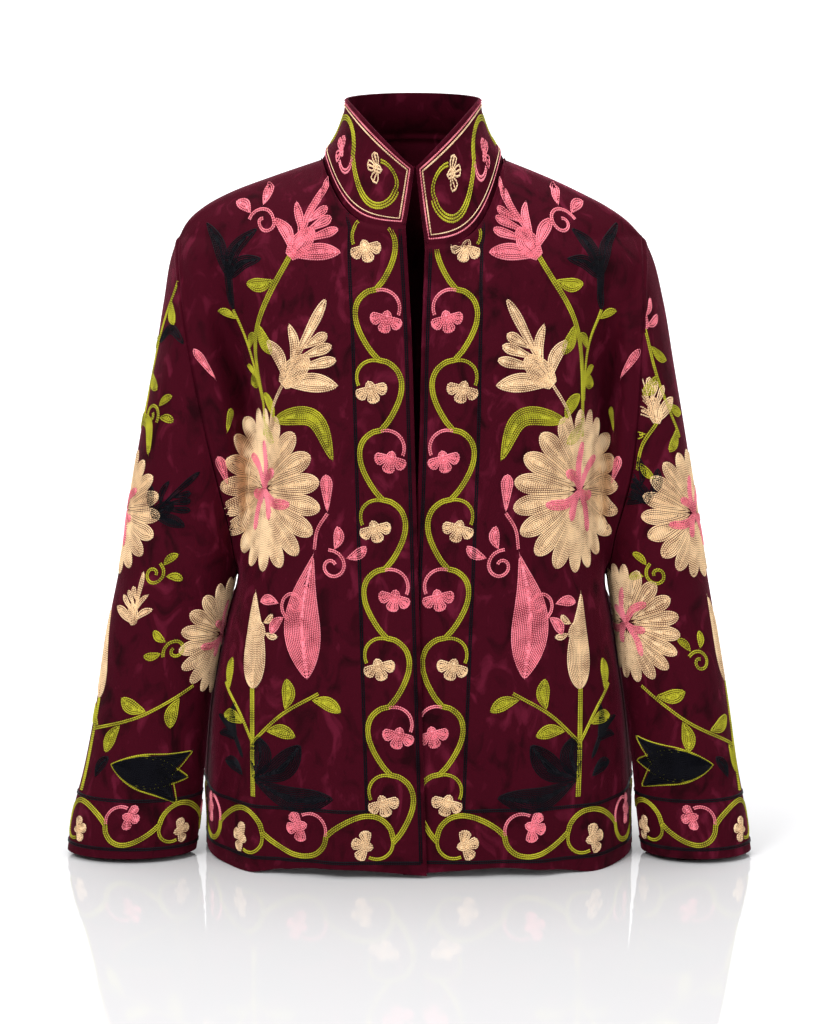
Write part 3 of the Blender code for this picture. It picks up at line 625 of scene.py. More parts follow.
def seam_distance(name, along, up):
    """Distance from the nearest sewn seam over a piece's grid."""
    if name.startswith("sleeve"):
        return up * (TIP_RISE - CUFF_RISE)
    if name == "collar":
        return up * BAND_WIDTH
    side_seam = (1 - along) * PANEL_WIDTH
    if name == "back":
        side_seam = (0.5 - np.abs(along - 0.5)) * 2 * PANEL_WIDTH
    return np.minimum(side_seam, (1 - up) * TIP_RISE)


def cloth_grid(name):
    """Points of a cloth piece with its seams pressed in."""
    row = dict((r[0], r) for r in PIECE_ROWS)[name]
    sizes = dict(zip(PIECE_COLUMNS, row))
    wrap = name.startswith("sleeve")
    along, up = np.meshgrid(crowd(sizes["columns"], wrap), crowd(sizes["rows"]), indexing="ij")
    spot = SURFACES[name]
    normals = surface_normals(spot, along, up, sizes["flip"])
    grid = spot(along, up) + normals * seam_form(seam_distance(name, along, up))[..., None]
    return grid, wrap, sizes["flip"]


def grid_mesh(name, grid, wrap, flip):
    """A mesh of one layer from a grid."""
    columns, rows = grid.shape[:2]
    place = np.arange(columns * rows).reshape(columns, rows)
    nxt = np.roll(place, -1, axis=0)
    last = columns if wrap else columns - 1
    quads = np.stack((place[:last, :-1], nxt[:last, :-1], nxt[:last, 1:], place[:last, 1:]), axis=-1)
    quads = quads.reshape(-1, 4)
    if flip < 0:
        quads = quads[:, ::-1]
    mesh = bpy.data.meshes.new(name)
    mesh.from_pydata(grid.reshape(-1, 3).tolist(), [], quads.tolist())
    mesh.update()
    return mesh


def show(name, mesh):
    """Put a mesh in the scene as the one selected object."""
    bpy.ops.object.select_all(action="DESELECT")
    item = bpy.data.objects.new(name, mesh)
    bpy.context.scene.collection.objects.link(item)
    item.select_set(True)
    bpy.context.view_layer.objects.active = item
    return item


def wear(item, nodes=()):
    """Tie a finished piece to the jacket's body and hide the nodes it stands for."""
    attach(item, "root")
    if nodes:
        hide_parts(*nodes)
    return item


def cloth_piece(name):
    """One cut piece of the jacket as a thin wall of velvet."""
    sizes = bpy.context.scene.jacket_sizes
    grid, wrap, flip = cloth_grid(name)
    item = show(name + "_velvet", grid_mesh(name + "_velvet", grid, wrap, flip))
    item.data.materials.append(material("velvet"))
    item.data.materials.append(material("inside"))
    wall = item.modifiers.new("wall", "SOLIDIFY")
    wall.thickness = sizes.cloth_thickness
    wall.offset = -1.0
    wall.use_rim = True
    wall.material_offset = 1
    wall.material_offset_rim = 0
    bpy.ops.object.modifier_apply(modifier=wall.name)
    bpy.ops.object.shade_smooth_by_angle(angle=math.radians(60))
    wear(item, (name,))
    return item


def link(tree, start, socket, end, target):
    """Join two shader nodes by their sockets."""
    tree.links.new(start.outputs[socket], end.inputs[target])


def add_node(tree, kind, **values):
    """A shader node with some of its own properties set."""
    item = tree.nodes.new("ShaderNode" + kind)
    for name, value in values.items():
        setattr(item, name, value)
    return item


def noise(tree, coordinate, scale, detail, stretch=(1.0, 1.0, 1.0)):
    """Noise on the object's own coordinates."""
    mapping = add_node(tree, "Mapping")
    mapping.inputs["Scale"].default_value = stretch
    field = add_node(tree, "TexNoise")
    field.inputs["Scale"].default_value = scale
    field.inputs["Detail"].default_value = detail
    link(tree, coordinate, "Object", mapping, "Vector")
    link(tree, mapping, "Vector", field, "Vector")
    return field


def ramp(tree, source, socket, stops):
    """Colours by value along a ramp."""
    item = add_node(tree, "ValToRGB")
    first, last = item.color_ramp.elements
    first.position, first.color = stops[0][0], (*stops[0][1], 1.0)
    last.position, last.color = stops[-1][0], (*stops[-1][1], 1.0)
    for place, colour in stops[1:-1]:
        item.color_ramp.elements.new(place).color = (*colour, 1.0)
    link(tree, source, socket, item, "Fac")
    return item


def bump(tree, source, socket, strength, distance):
    """Relief from a value."""
    item = add_node(tree, "Bump")
    item.inputs["Strength"].default_value = strength
    item.inputs["Distance"].default_value = distance
    link(tree, source, socket, item, "Height")
    return item


def blank(name):
    """A new material with its shader and the object's coordinates."""
    result = bpy.data.materials.new(name)
    result.use_nodes = True
    tree = result.node_tree
    return result, tree, tree.nodes["Principled BSDF"], add_node(tree, "TexCoord")


def scaled(colour, factor):
    """A colour made lighter or darker."""
    return tuple(min(1.0, part * factor) for part in colour)


def velvet_material(name, sheen):
    """Crushed velvet: dark ground, lighter brushed streaks and a soft sheen."""
    colours = bpy.context.scene.jacket_colours
    ground = tuple(colours.velvet)
    light = tuple(colours.velvet_light)
    result, tree, shader, coordinate = blank(name)
    crushed = noise(tree, coordinate, 45.0, 9.0, (1.0, 1.0, 0.6))
    crushed.inputs["Distortion"].default_value = 0.9
    colour = ramp(tree, crushed, "Fac", (
        (0.30, scaled(ground, 0.35)), (0.46, ground), (0.56, ground), (0.68, light),
    ))
    pile = noise(tree, coordinate, 1500.0, 2.0)
    wide = noise(tree, coordinate, 90.0, 5.0, (1.0, 1.0, 0.6))
    mixed = add_node(tree, "Math", operation="MULTIPLY_ADD")
    mixed.inputs[1].default_value = 1.8
    link(tree, wide, "Fac", mixed, 0)
    link(tree, pile, "Fac", mixed, 2)
    relief = bump(tree, mixed, 0, 0.5, 0.0010)
    link(tree, colour, "Color", shader, "Base Color")
    link(tree, relief, "Normal", shader, "Normal")
    shader.inputs["Roughness"].default_value = 0.78
    shader.inputs["Specular IOR Level"].default_value = 0.05
    shader.inputs["Sheen Weight"].default_value = sheen
    shader.inputs["Sheen Roughness"].default_value = 0.24
    shader.inputs["Sheen Tint"].default_value = (1.0, 0.12, 0.26, 1.0)
    return result


MATERIALS = {}


def material(name):
    """A finish of the jacket by name, made once."""
    if name not in MATERIALS:
        MATERIALS[name] = MAKERS[name]()
    return MATERIALS[name]


def lining_material():
    """Inside of the cloth: the velvet's plain reverse."""
    return velvet_material("inside", 0.06)


def floor_material():
    """White floor with a faint mirror, and a backdrop that glows a little."""
    result, tree, shader, coordinate = blank("pale_floor")
    parts = add_node(tree, "SeparateXYZ")
    link(tree, coordinate, "Object", parts, "Vector")
    glow = add_node(tree, "MapRange")
    glow.inputs["From Max"].default_value = GLOW_REACH
    glow.inputs["To Max"].default_value = BACKDROP_GLOW
    link(tree, parts, "Y", glow, "Value")
    link(tree, glow, "Result", shader, "Emission Strength")
    shader.inputs["Emission Color"].default_value = (1.0, 1.0, 1.0, 1.0)
    shader.inputs["Base Color"].default_value = (*FLOOR_COLOUR, 1.0)
    shader.inputs["Roughness"].default_value = 0.03
    shader.inputs["IOR"].default_value = 1.3
    return result




# Embroidery, in millimetres on the flat cloth: out runs from the front edge, the
# centre back or the top of the sleeve, and rise runs up from the hem.
ROW_PITCH = 1.75
ROW_WIDTH = 1.70
ROW_HEIGHT = 0.95
ROW_SINK = 0.25
STITCH_STEP = 3.5
RING_STEP = 3.0
MM = 0.001
FIELD_COLUMNS = 260
FIELD_LEVELS = 200
OUTLINE_STEPS = 26
BED_HEIGHT = 0.10
LOBE_TURN = 0.75


def lobe_form(part):
    """Half width of a petal: it widens evenly and ends in a round tip."""
    rising = (np.clip(part / LOBE_TURN, 0, 1)) ** 0.75
    tip = np.sqrt(np.clip(1 - (np.clip(part - LOBE_TURN, 0, 1) / (1 - LOBE_TURN)) ** 2, 0, 1))
    return np.where(part < LOBE_TURN, rising, tip)


# Half width of each shape along its axis, from its base at 0 to its tip at 1
SHAPES = {
    "leaf": lambda t: np.sin(math.pi * t ** 1.25) ** 0.75,
    "lobe": lobe_form,
    "blade": lambda t: np.clip(1 - (2 * t - 1) ** 4, 0, 1) ** 0.5 * (0.72 + 0.28 * t),
    "hanging bud": lambda t: np.sin(math.pi * t ** 1.5) ** 0.8,
    "flame": lambda t: np.sin(math.pi * t ** 0.8) ** 1.2,
    "standing bud": lambda t: np.sin(math.pi * t ** 0.6) ** 0.9,
    "round": lambda t: np.sqrt(np.clip(1 - (2 * t - 1) ** 2, 0, 1)),
    "sickle": lambda t: np.sin(math.pi * t ** 0.8) ** 0.62,
    "body": lambda t: np.sin(math.pi * np.clip(0.10 + 0.84 * t, 0, 1)) ** 0.6,
}


def smooth_line(points, step=STITCH_STEP):
    """Even points along a soft curve through a few chosen ones."""
    spots = np.array(points, float)
    if len(spots) == 2:
        middle = spots.mean(axis=0)
        spots = np.array((spots[0], middle, spots[1]))
    run = np.concatenate(((0.0,), np.cumsum(np.hypot(*np.diff(spots, axis=0).T))))
    fine = np.linspace(0, run[-1], max(8, 12 * len(spots)))
    line = np.stack([curve_at(run, spots[:, k], fine, level=False) for k in (0, 1)], axis=-1)
    return even_line(line, step)


def even_line(line, step=STITCH_STEP):
    """The same line with points an even step apart."""
    run = np.concatenate(((0.0,), np.cumsum(np.hypot(*np.diff(line, axis=0).T))))
    count = max(3, int(round(run[-1] / step)) + 1)
    places = np.linspace(0, run[-1], count)
    return np.stack([np.interp(places, run, line[:, k]) for k in (0, 1)], axis=-1)


def line_sides(line):
    """Unit directions square to a line."""
    along = np.gradient(line, axis=0)
    along /= np.maximum(np.linalg.norm(along, axis=1, keepdims=True), 1e-9)
    return np.stack((-along[:, 1], along[:, 0]), axis=-1)


def side_by_side(thread, line, rows, lift=0.0):
    """Some rows of stitches side by side along a line."""
    sides = line_sides(line)
    return [
        (thread, line + sides * ROW_PITCH * (k - (rows - 1) / 2), False, lift, ROW_WIDTH)
        for k in range(rows)
    ]


def stem(thread, points, rows=2, lift=0.0):
    """A stem of stitches through a few chosen spots."""
    return side_by_side(thread, smooth_line(points), rows, lift)


def filled(thread, axis, width, shape, lift=0.0):
    """A shape on an axis, filled by rows that follow its outline inward."""
    line = smooth_line(axis, 1.0)
    run = np.concatenate(((0.0,), np.cumsum(np.hypot(*np.diff(line, axis=0).T))))
    part = 0.5 - 0.5 * np.cos(np.linspace(0, math.pi, OUTLINE_STEPS))
    spots = np.stack([np.interp(part * run[-1], run, line[:, k]) for k in (0, 1)], axis=-1)
    sides = line_sides(spots)
    half = width / 2 * SHAPES[shape](part)
    rows = [(thread, spots, False, lift + BED_HEIGHT - ROW_HEIGHT, np.maximum(2 * half - 1.0, 0.2))]
    inset = ROW_PITCH / 2
    while half.max() - inset > ROW_PITCH * 0.3:
        inside = np.where(half - inset > 0)[0]
        if len(inside) < 3:
            break
        first, last = inside[0], inside[-1]
        reach = (half - inset)[first:last + 1, None]
        left = spots[first:last + 1] + sides[first:last + 1] * reach
        right = spots[first:last + 1] - sides[first:last + 1] * reach
        ring = np.concatenate((left, right[::-1]))
        ring = even_line(np.concatenate((ring, ring[:1])), RING_STEP)[:-1]
        if len(ring) >= 5:
            rows.append((thread, ring, True, lift, ROW_WIDTH))
        inset += ROW_PITCH
    if len(rows) == 1 or half.max() - inset > -ROW_PITCH * 0.2:
        keep = np.where(half > half.max() * 0.55)[0]
        rows.append((thread, even_line(spots[keep[0]:keep[-1] + 1]), False, lift, ROW_WIDTH))
    return rows


def aim(place, turn, reach):
    """The spot at a turn in degrees and a reach from a place."""
    angle = math.radians(turn)
    return (place[0] + reach * math.cos(angle), place[1] + reach * math.sin(angle))


def leaf(thread, place, turn, length, width=None, bend=0.12, shape="leaf", lift=0.0):
    """A leaf or petal that bends a little to one side."""
    middle = aim(aim(place, turn, length / 2), turn + 90, bend * length)
    width = width or 0.46 * length
    return filled(thread, (place, middle, aim(place, turn, length)), width, shape, lift)


NEAR_PETALS = 4
FAR_PETALS = 2


def palmette(thread, place, turn, size, hand=1):
    """A half palmette: a long petal with shorter ones that leave it at both sides."""
    rows = leaf(thread, place, turn, size, 0.11 * size, 0.0, "lobe")
    rows += leaf(thread, place, turn + hand * 15, 0.4 * size, 0.25 * size, 0.0, "body")
    rows += leaf(thread, place, turn + hand * 60, 0.6 * size, 0.20 * size, -hand * 0.05)
    for k in range(1, NEAR_PETALS):
        start = aim(place, turn, (0.05 + 0.12 * k) * size)
        way = turn + hand * (55 - 8 * k)
        rows += leaf(thread, start, way, (0.60 - 0.09 * k) * size, 0.12 * size, 0.0, "lobe")
    for k in range(FAR_PETALS):
        start = aim(place, turn, (0.05 + 0.15 * k) * size)
        rows += leaf(thread, start, turn - hand * (55 - 25 * k), 0.45 * size, (0.15 - 0.04 * k) * size)
    return rows


STAR_RAYS = 7
STAR_LONG = 0.60
STAR_SHORT = 0.40
STAR_WIDTH = 0.15
STAR_BEND = 0.12
STAR_LIFT = 0.7
HEART_SHARE = 0.10


def rosette(thread, ray_thread, place, radius, count, hand=1):
    """A round flower of lobed petals, with a star of rays laid over it."""
    rows = []
    wide = 2 * math.pi * 0.8 * radius / count
    for k in range(count):
        turn = k * 360.0 / count
        rows += leaf(thread, aim(place, turn, HEART_SHARE * radius), turn, 0.9 * radius, wide, 0.0, "lobe")
    for k in range(STAR_RAYS):
        turn = 90 + hand * k * 360.0 / STAR_RAYS
        odd = k % 2
        reach = radius * (STAR_SHORT if odd else STAR_LONG)
        bend = STAR_BEND * (-1 if odd else 1) * hand
        rows += leaf(ray_thread, place, turn, reach, STAR_WIDTH * radius, bend, "blade", STAR_LIFT)
    return rows


CURL_SHRINK = 0.75
CURL_STEPS = 16


def spiral(thread, place, radius, start, turns, rows=2):
    """A curl that winds in from its start; turns are negative clockwise."""
    part = np.linspace(0, 1, int(abs(turns) * CURL_STEPS) + 4)
    reach = radius * (1 - CURL_SHRINK * part ** 0.8)
    angle = np.radians(start) + 2 * math.pi * turns * part
    line = np.stack((place[0] + reach * np.cos(angle), place[1] + reach * np.sin(angle)), axis=-1)
    return side_by_side(thread, even_line(line, STITCH_STEP * 0.7), rows)


CURL_TURNS = 1.2


def tendril(thread, place, turn, radius, hand=1, leaves=2):
    """A curl that sets off from a spot, with small leaves at its outer side."""
    heart = aim(place, turn + hand * 90, radius)
    rows = spiral(thread, heart, radius, turn - hand * 90, hand * CURL_TURNS)
    for k in range(leaves):
        way = turn - hand * (70 - 50 * k)
        rows += leaf(thread, aim(heart, way, radius), way, 1.5 * radius, 0.7 * radius)
    return rows


LEAF_TURN = 50
LEAF_WIDTH = 0.45
LEAF_BEND = 0.1


def sprig(thread, points, leaves, size, rows=2, hand=1):
    """A stem with leaves in turn on its two sides."""
    line = smooth_line(points)
    found = side_by_side(thread, line, rows)
    for k in range(leaves):
        at = min(max(1, int(len(line) * (k + 0.6) / leaves)), len(line) - 2)
        ahead = line[at + 1] - line[at - 1]
        side = hand * (-1) ** k
        turn = math.degrees(math.atan2(ahead[1], ahead[0])) + side * LEAF_TURN
        found += leaf(thread, aim(line[at], turn, 2.0), turn, size, LEAF_WIDTH * size, -side * LEAF_BEND)
    return found


PRONG_TURNS = (30, -30, -60)
PRONG_WIDTH = 0.16
PRONG_BEND = 0.12


def pronged(thread, place, turn, size, hand=1):
    """A thin flower: a stalk that parts into three bent prongs."""
    rows = leaf(thread, place, turn, 0.5 * size, 0.12 * size, 0.0, "blade")
    fork = aim(place, turn, 0.35 * size)
    for way in PRONG_TURNS:
        reach = size * (0.65 - 0.15 * (way < -30))
        bend = -hand * math.copysign(PRONG_BEND, way)
        rows += leaf(thread, fork, turn + hand * way, reach, PRONG_WIDTH * size, bend, "sickle")
    return rows


POD_SPREAD = 45
POD_LENGTHS = (1.0, 0.75, 0.5)
POD_WIDTH = 0.3


def pod(thread, place, turn, size, hand=1):
    """A fan of three leaves, evenly apart and each a quarter shorter."""
    rows = []
    for k, share in enumerate(POD_LENGTHS):
        rows += leaf(thread, place, turn + hand * POD_SPREAD * k, share * size, POD_WIDTH * size)
    return rows


TULIP_RIM = 6.0
TULIP_LIFT = 0.9
TULIP_TURN = 18
TULIP_WIDTH = 0.32
TULIP_BEND = 0.006


def tulip(thread, place, turn, size, hand=1):
    """A closed flower of three petals with a green rim."""
    rows = []
    for way in (0, TULIP_TURN, -TULIP_TURN):
        spin = turn + hand * way
        bend = -hand * way * TULIP_BEND
        wide = TULIP_WIDTH * size
        rim = leaf("green", aim(place, spin, -2.0), spin, size + TULIP_RIM, wide + TULIP_RIM, bend, "flame")
        rows += rim[1:2]
        rows += leaf(thread, place, spin, size, wide, bend, "flame", TULIP_LIFT)
    return rows


LOBE_TURNS = (-65, 0, 65)


def flower(thread, place, turn, size):
    """A small flower of round lobes that face away from its curl."""
    heart = aim(place, turn, 0.2 * size)
    rows = leaf(thread, place, turn, 0.5 * size, 0.4 * size, 0.0, "round")
    for way in LOBE_TURNS:
        rows += leaf(thread, heart, turn + way, 0.6 * size, 0.5 * size, 0.0, "lobe")
    return rows


VINE_STEPS = 14
VINE_FLOWER = 0.4
VINE_CURL = 0.25
FLOWER_TILT = 15
# Where the flower of a hook lies, as shares of the spacing and of the half width
FLOWER_ALONG = 0.3
FLOWER_ACROSS = -0.5


def running_vine(start, turn, spacing, count, side, half, threads):
    """A scroll vine: each hook rises steeply, falls away softly and curls round a flower."""
    rows = []
    ahead = np.array(aim((0.0, 0.0), turn, 1.0))
    across = np.array((-ahead[1], ahead[0]))
    part = np.linspace(0, 1, VINE_STEPS)
    for k in range(count):
        node = np.array(start) + ahead * spacing * k
        thread = threads[k % len(threads)]
        arch = node + np.outer(part ** 1.5, ahead) * spacing
        arch += np.outer(np.sin(math.pi * part) ** 0.8, across) * side * half
        rows += side_by_side("green", even_line(arch), 3)
        # the curl: an arc from the node round to the flower
        heart = node + ahead * VINE_CURL * spacing + across * side * FLOWER_ACROSS * 0.5 * half
        angle = math.pi - np.linspace(-0.1, 0.65, VINE_STEPS) * math.pi
        reach = VINE_CURL * spacing
        curl = heart + np.outer(np.cos(angle), ahead) * reach - np.outer(np.sin(angle), across) * side * reach
        rows += side_by_side("pink" if thread == "pink" else "green", even_line(curl), 2)
        place = node + ahead * FLOWER_ALONG * spacing + across * side * FLOWER_ACROSS * half
        rows += flower(thread, tuple(place), turn + side * FLOWER_TILT, VINE_FLOWER * spacing)
        side = -side
    return rows


class Field:
    """The flat cloth of one piece and where its points lie on the worn jacket."""

    def __init__(self, name, side):
        self.name = name
        self.side = side
        self.levels = np.linspace(-0.006, 0.672, FIELD_LEVELS)
        self.along = np.linspace(0, 1, FIELD_COLUMNS)
        if name == "collar":
            self.levels = np.linspace(0, 1, 12)
        a, r = np.meshgrid(self.along, self.levels, indexing="ij")
        up = self.up(a, r)
        inside = (up >= 0) & (up <= 1)
        spot = self.spot(a, np.clip(up, 0, 1))
        step = np.hypot(*np.moveaxis(np.diff(spot[..., :2], axis=0), -1, 0))
        if name == "collar":
            step = np.linalg.norm(np.diff(spot, axis=0), axis=-1)
        plain = np.abs(np.diff(spot[..., 0], axis=0))
        step = np.where(inside[1:] & inside[:-1], step, np.maximum(plain, 1e-6))
        self.run = np.concatenate((np.zeros((1, step.shape[1])), np.cumsum(step, axis=0)))

    def spot(self, a, up):
        """Point of the worn cloth for a place along and up the piece."""
        if self.name in ("front", "back"):
            return panel_points(self.name, self.side, np.clip(a, 0, 1), np.clip(up, 0, 1))
        if self.name == "collar":
            along = 2 * np.clip(a, 0, 1)
            along = along if self.side < 0 else 4 - along
            return band_points(along, np.clip(up, 0, 1))
        around = 0.5 * a if self.name == "sleeve" else 1 - 0.5 * a
        return sleeve_points(self.side, around, 1 - up)

    def up(self, a, rise):
        """How far up its column a height lies."""
        if self.name == "collar":
            return rise
        if self.name in ("front", "back"):
            low = hem_lift(self.name, a)
            high = panel_top(self.name, self.side, a)[2]
        else:
            low = CUFF_RISE
            one = np.ones(np.shape(a))
            face = "front" if self.name == "sleeve" else "back"
            high = panel_points(face, self.side, one, yoke_up(1 - a))[..., 2] + NECK_RISE
        return (rise - low) / (high - low)

    def place(self, out, rise):
        """Place along and up the piece of flat points, and which of them are on it."""
        rise = rise * MM
        if self.name == "collar":
            rise = rise / BAND_WIDTH
        level = (rise - self.levels[0]) / (self.levels[1] - self.levels[0])
        low = np.clip(level.astype(int), 0, len(self.levels) - 2)
        part = np.clip(level - low, 0, 1)
        a = np.zeros(out.shape)
        end = np.zeros(out.shape)
        for k in np.unique(low):
            here = low == k
            first = np.interp(out[here] * MM, self.run[:, k], self.along)
            second = np.interp(out[here] * MM, self.run[:, k + 1], self.along)
            a[here] = first * (1 - part[here]) + second * part[here]
            end[here] = self.run[-1, k]
        up = self.up(a, rise)
        good = (out >= 0) & (out * MM <= end) & (up > 0.001) & (up < 0.998)
        return a, up, good

    def point(self, out, rise, height):
        """Points on the worn cloth, raised by a height in millimetres."""
        a, up, good = self.place(out, rise)
        here = self.spot(a, up)
        wide = self.spot(a + NORMAL_STEP, up) - self.spot(a - NORMAL_STEP, up)
        tall = self.spot(a, up + NORMAL_STEP) - self.spot(a, up - NORMAL_STEP)
        normal = np.cross(wide, tall)
        normal /= np.maximum(np.linalg.norm(normal, axis=-1, keepdims=True), 1e-12)
        normal *= self.turn(here, normal)
        return here + normal * (height * MM)[:, None], good

    def turn(self, here, normal):
        """Sign that makes the directions face out of the jacket."""
        middle = np.array((0.0, 0.0, 0.0))
        if self.name.startswith("sleeve"):
            level = np.clip(here[:, 2] + NECK_RISE, CUFF_RISE, TIP_RISE)
            outer = sleeve_ring(self.side, np.zeros(len(here)), level)
            inner = sleeve_ring(self.side, np.full(len(here), math.pi), level)
            middle = (outer + inner) / 2
        away = (here - middle) * np.array((1.0, 1.0, 0.0))
        total = np.sum(np.sum(away * normal, axis=1))
        return 1.0 if total > 0 else -1.0


def stitch_mesh(name, field_rows):
    """One mesh of closed little ridges, a ridge for each row of stitches."""
    spots, faces, marks = [], [], []
    base = 0
    for field, rows in field_rows:
        if not rows:
            continue
        outs, rises, heights, runs, lengths = [], [], [], [], []
        for thread, line, closed, lift, width in rows:
            sides = line_sides(line)
            if closed:
                sides = line_sides(np.concatenate((line[-1:], line, line[:1])))[1:-1]
            for across, height in ((-0.5, -ROW_SINK), (0.0, ROW_HEIGHT), (0.5, -ROW_SINK)):
                edge = line + sides * np.atleast_1d(width)[:, None] * across
                outs.append(edge[:, 0])
                rises.append(edge[:, 1])
                raised = max(lift, 0.0) if height < 0 else lift
                heights.append(np.full(len(line), height + raised))
            run = np.concatenate(((0.0,), np.cumsum(np.hypot(*np.diff(line, axis=0).T))))
            runs.append(run)
            lengths.append(len(line))
        points, good = field.point(np.concatenate(outs), np.concatenate(rises), np.concatenate(heights))
        start = 0
        for (thread, line, closed, lift, width), run, count in zip(rows, runs, lengths):
            block = points[start:start + 3 * count].reshape(3, count, 3)
            fine = good[start:start + 3 * count].reshape(3, count).all(axis=0)
            start += 3 * count
            for stretch in stretches(fine):
                ring = closed and len(stretch) == count
                chosen = block[:, stretch]
                spots.append(chosen.transpose(1, 0, 2).reshape(-1, 3))
                base = add_ridge(faces, marks, base, run[stretch], ring)
    if not spots:
        return None
    mesh = bpy.data.meshes.new(name)
    mesh.from_pydata(np.concatenate(spots).tolist(), [], faces)
    layer = mesh.uv_layers.new(name="stitches")
    layer.data.foreach_set("uv", np.array([v for face in marks for mark in face for v in mark], float))
    mesh.validate()
    mesh.update()
    return mesh


def stretches(fine):
    """Unbroken stretches of a row that lie on the cloth."""
    if fine.all():
        return [np.arange(len(fine))]
    found, current = [], []
    for k, good in enumerate(fine):
        if good:
            current.append(k)
        elif current:
            found.append(np.array(current))
            current = []
    if current:
        found.append(np.array(current))
    return [part for part in found if len(part) >= 3]


def add_ridge(faces, marks, base, run, ring):
    """Faces of one closed ridge: two slopes, an underside and its ends."""
    count = len(run)
    total = run[-1] + STITCH_STEP
    last = count if ring else count - 1
    for k in range(last):
        a = base + 3 * k
        b = base + 3 * ((k + 1) % count)
        u = run[k]
        v = run[k + 1] if k + 1 < count else total
        faces += [(a, b, b + 1, a + 1), (a + 1, b + 1, b + 2, a + 2), (a + 2, b + 2, b, a)]
        marks += [
            ((u, 0.0), (v, 0.0), (v, 0.5), (u, 0.5)),
            ((u, 0.5), (v, 0.5), (v, 1.0), (u, 1.0)),
            ((u, 1.0), (v, 1.0), (v, 0.0), (u, 0.0)),
        ]
    if not ring:
        end = base + 3 * (count - 1)
        faces += [(base, base + 1, base + 2), (end + 2, end + 1, end)]
        marks += [((0.0, 0.0), (0.0, 0.5), (0.0, 1.0)), ((total, 1.0), (total, 0.5), (total, 0.0))]
    return base + 3 * count


def thread_material(name, colour, dark, gloss):
    """Chain-stitched thread: loops along each row, with painted shade in the gaps between loops and at the sides
    of each row, and a painted highlight on the loops' crests.
    """
    result, tree, shader, coordinate = blank(name + "_thread")
    parts = add_node(tree, "SeparateXYZ")
    link(tree, coordinate, "UV", parts, "Vector")
    away = add_node(tree, "Math", operation="SUBTRACT")
    away.inputs[1].default_value = 0.5
    link(tree, parts, "Y", away, 0)
    side = add_node(tree, "Math", operation="ABSOLUTE")
    link(tree, away, 0, side, 0)
    slant = add_node(tree, "Math", operation="MULTIPLY_ADD")
    slant.inputs[1].default_value = 1.7
    link(tree, side, 0, slant, 0)
    link(tree, parts, "X", slant, 2)
    wave = add_node(tree, "Math", operation="MULTIPLY")
    wave.inputs[1].default_value = 2 * math.pi / 2.1
    link(tree, slant, 0, wave, 0)
    loops = add_node(tree, "Math", operation="SINE")
    link(tree, wave, 0, loops, 0)
    level = add_node(tree, "Math", operation="MULTIPLY_ADD")
    level.inputs[1].default_value = 0.5
    level.inputs[2].default_value = 0.5
    link(tree, loops, 0, level, 0)
    worn = noise(tree, coordinate, 60.0, 4.0)
    blend = add_node(tree, "Math", operation="MULTIPLY_ADD")
    blend.inputs[1].default_value = 0.45
    link(tree, level, 0, blend, 0)
    link(tree, worn, "Fac", blend, 2)
    # Painted shade: this value falls towards the sides of each row, so the colour darkens there as if the
    # neighbouring rows shaded it.
    painted_shade_level = add_node(tree, "Math", operation="MULTIPLY_ADD")
    painted_shade_level.inputs[1].default_value = -0.55
    link(tree, side, 0, painted_shade_level, 0)
    link(tree, blend, 0, painted_shade_level, 2)
    # The ramp paints shade in the dark colour at the gaps and row sides, and a painted highlight a quarter lighter
    # than the thread on the crests; the worn noise adds random tone.
    shade = ramp(tree, painted_shade_level, 0, ((0.34, dark), (0.54, scaled(colour, 0.9)), (0.95, scaled(colour, 1.25))))
    relief = bump(tree, level, 0, 0.6, 0.0005)
    link(tree, shade, "Color", shader, "Base Color")
    link(tree, relief, "Normal", shader, "Normal")
    shader.inputs["Roughness"].default_value = gloss
    shader.inputs["Specular IOR Level"].default_value = 0.12
    return result


# Places are counted in steps over the flat piece: across from the front edge, the centre back
# or the sleeve's top line, and up from the hem or cuff. A step is a tenth of a front's width
# and a twentieth of its length, and on a sleeve an eighth of half its width and a twentieth
# of its length. Turn 0 points away from that edge.
FRONT_STEP = (27, 33)
SLEEVE_STEP = (17, 29)
MOTIF_COLUMNS = ("shape", "thread", "across", "up", "turn", "size", "hand")
FRONT_MOTIFS = (
    ("palmette", "pink", 4, 17, 115, 80, 1),
    ("tendril", "pink", 5.5, 18, 100, 15, 1),
    ("pronged", "black", 6.5, 15.5, 95, 85, -1),
    ("palmette", "cream", 4.5, 13.5, 120, 90, 1),
    ("leaf", "green", 5, 12.5, 50, 30, 1),
    ("crescent", "green", 5, 12.5, 210, 70, -1),
    ("rosette", "cream", 6, 10.5, 0, 75, 1),
    ("drop", "pink", 3, 10, 90, 35, 1),
    ("bud", "pink", 3.5, 9, 275, 120, 1),
    ("tendril", "pink", 3, 9, 170, 15, 1),
    ("tendril", "pink", 4.5, 7, 20, 15, 1),
    ("standing", "cream", 6, 5, 90, 90, 1),
    ("tendril", "cream", 5.5, 6.5, 120, 10, -1),
    ("pod", "black", 6, 2.5, 190, 80, -1),
    ("pronged", "black", 6.5, 3, 60, 55, 1),
    ("leaf", "black", 6.5, 2.5, 20, 30, 1),
    ("drop", "pink", 8.5, 13.5, 80, 30, 1),
    ("drop", "green", 8.5, 12, 110, 25, 1),
    ("drop", "pink", 8.5, 10.5, 70, 30, 1),
)
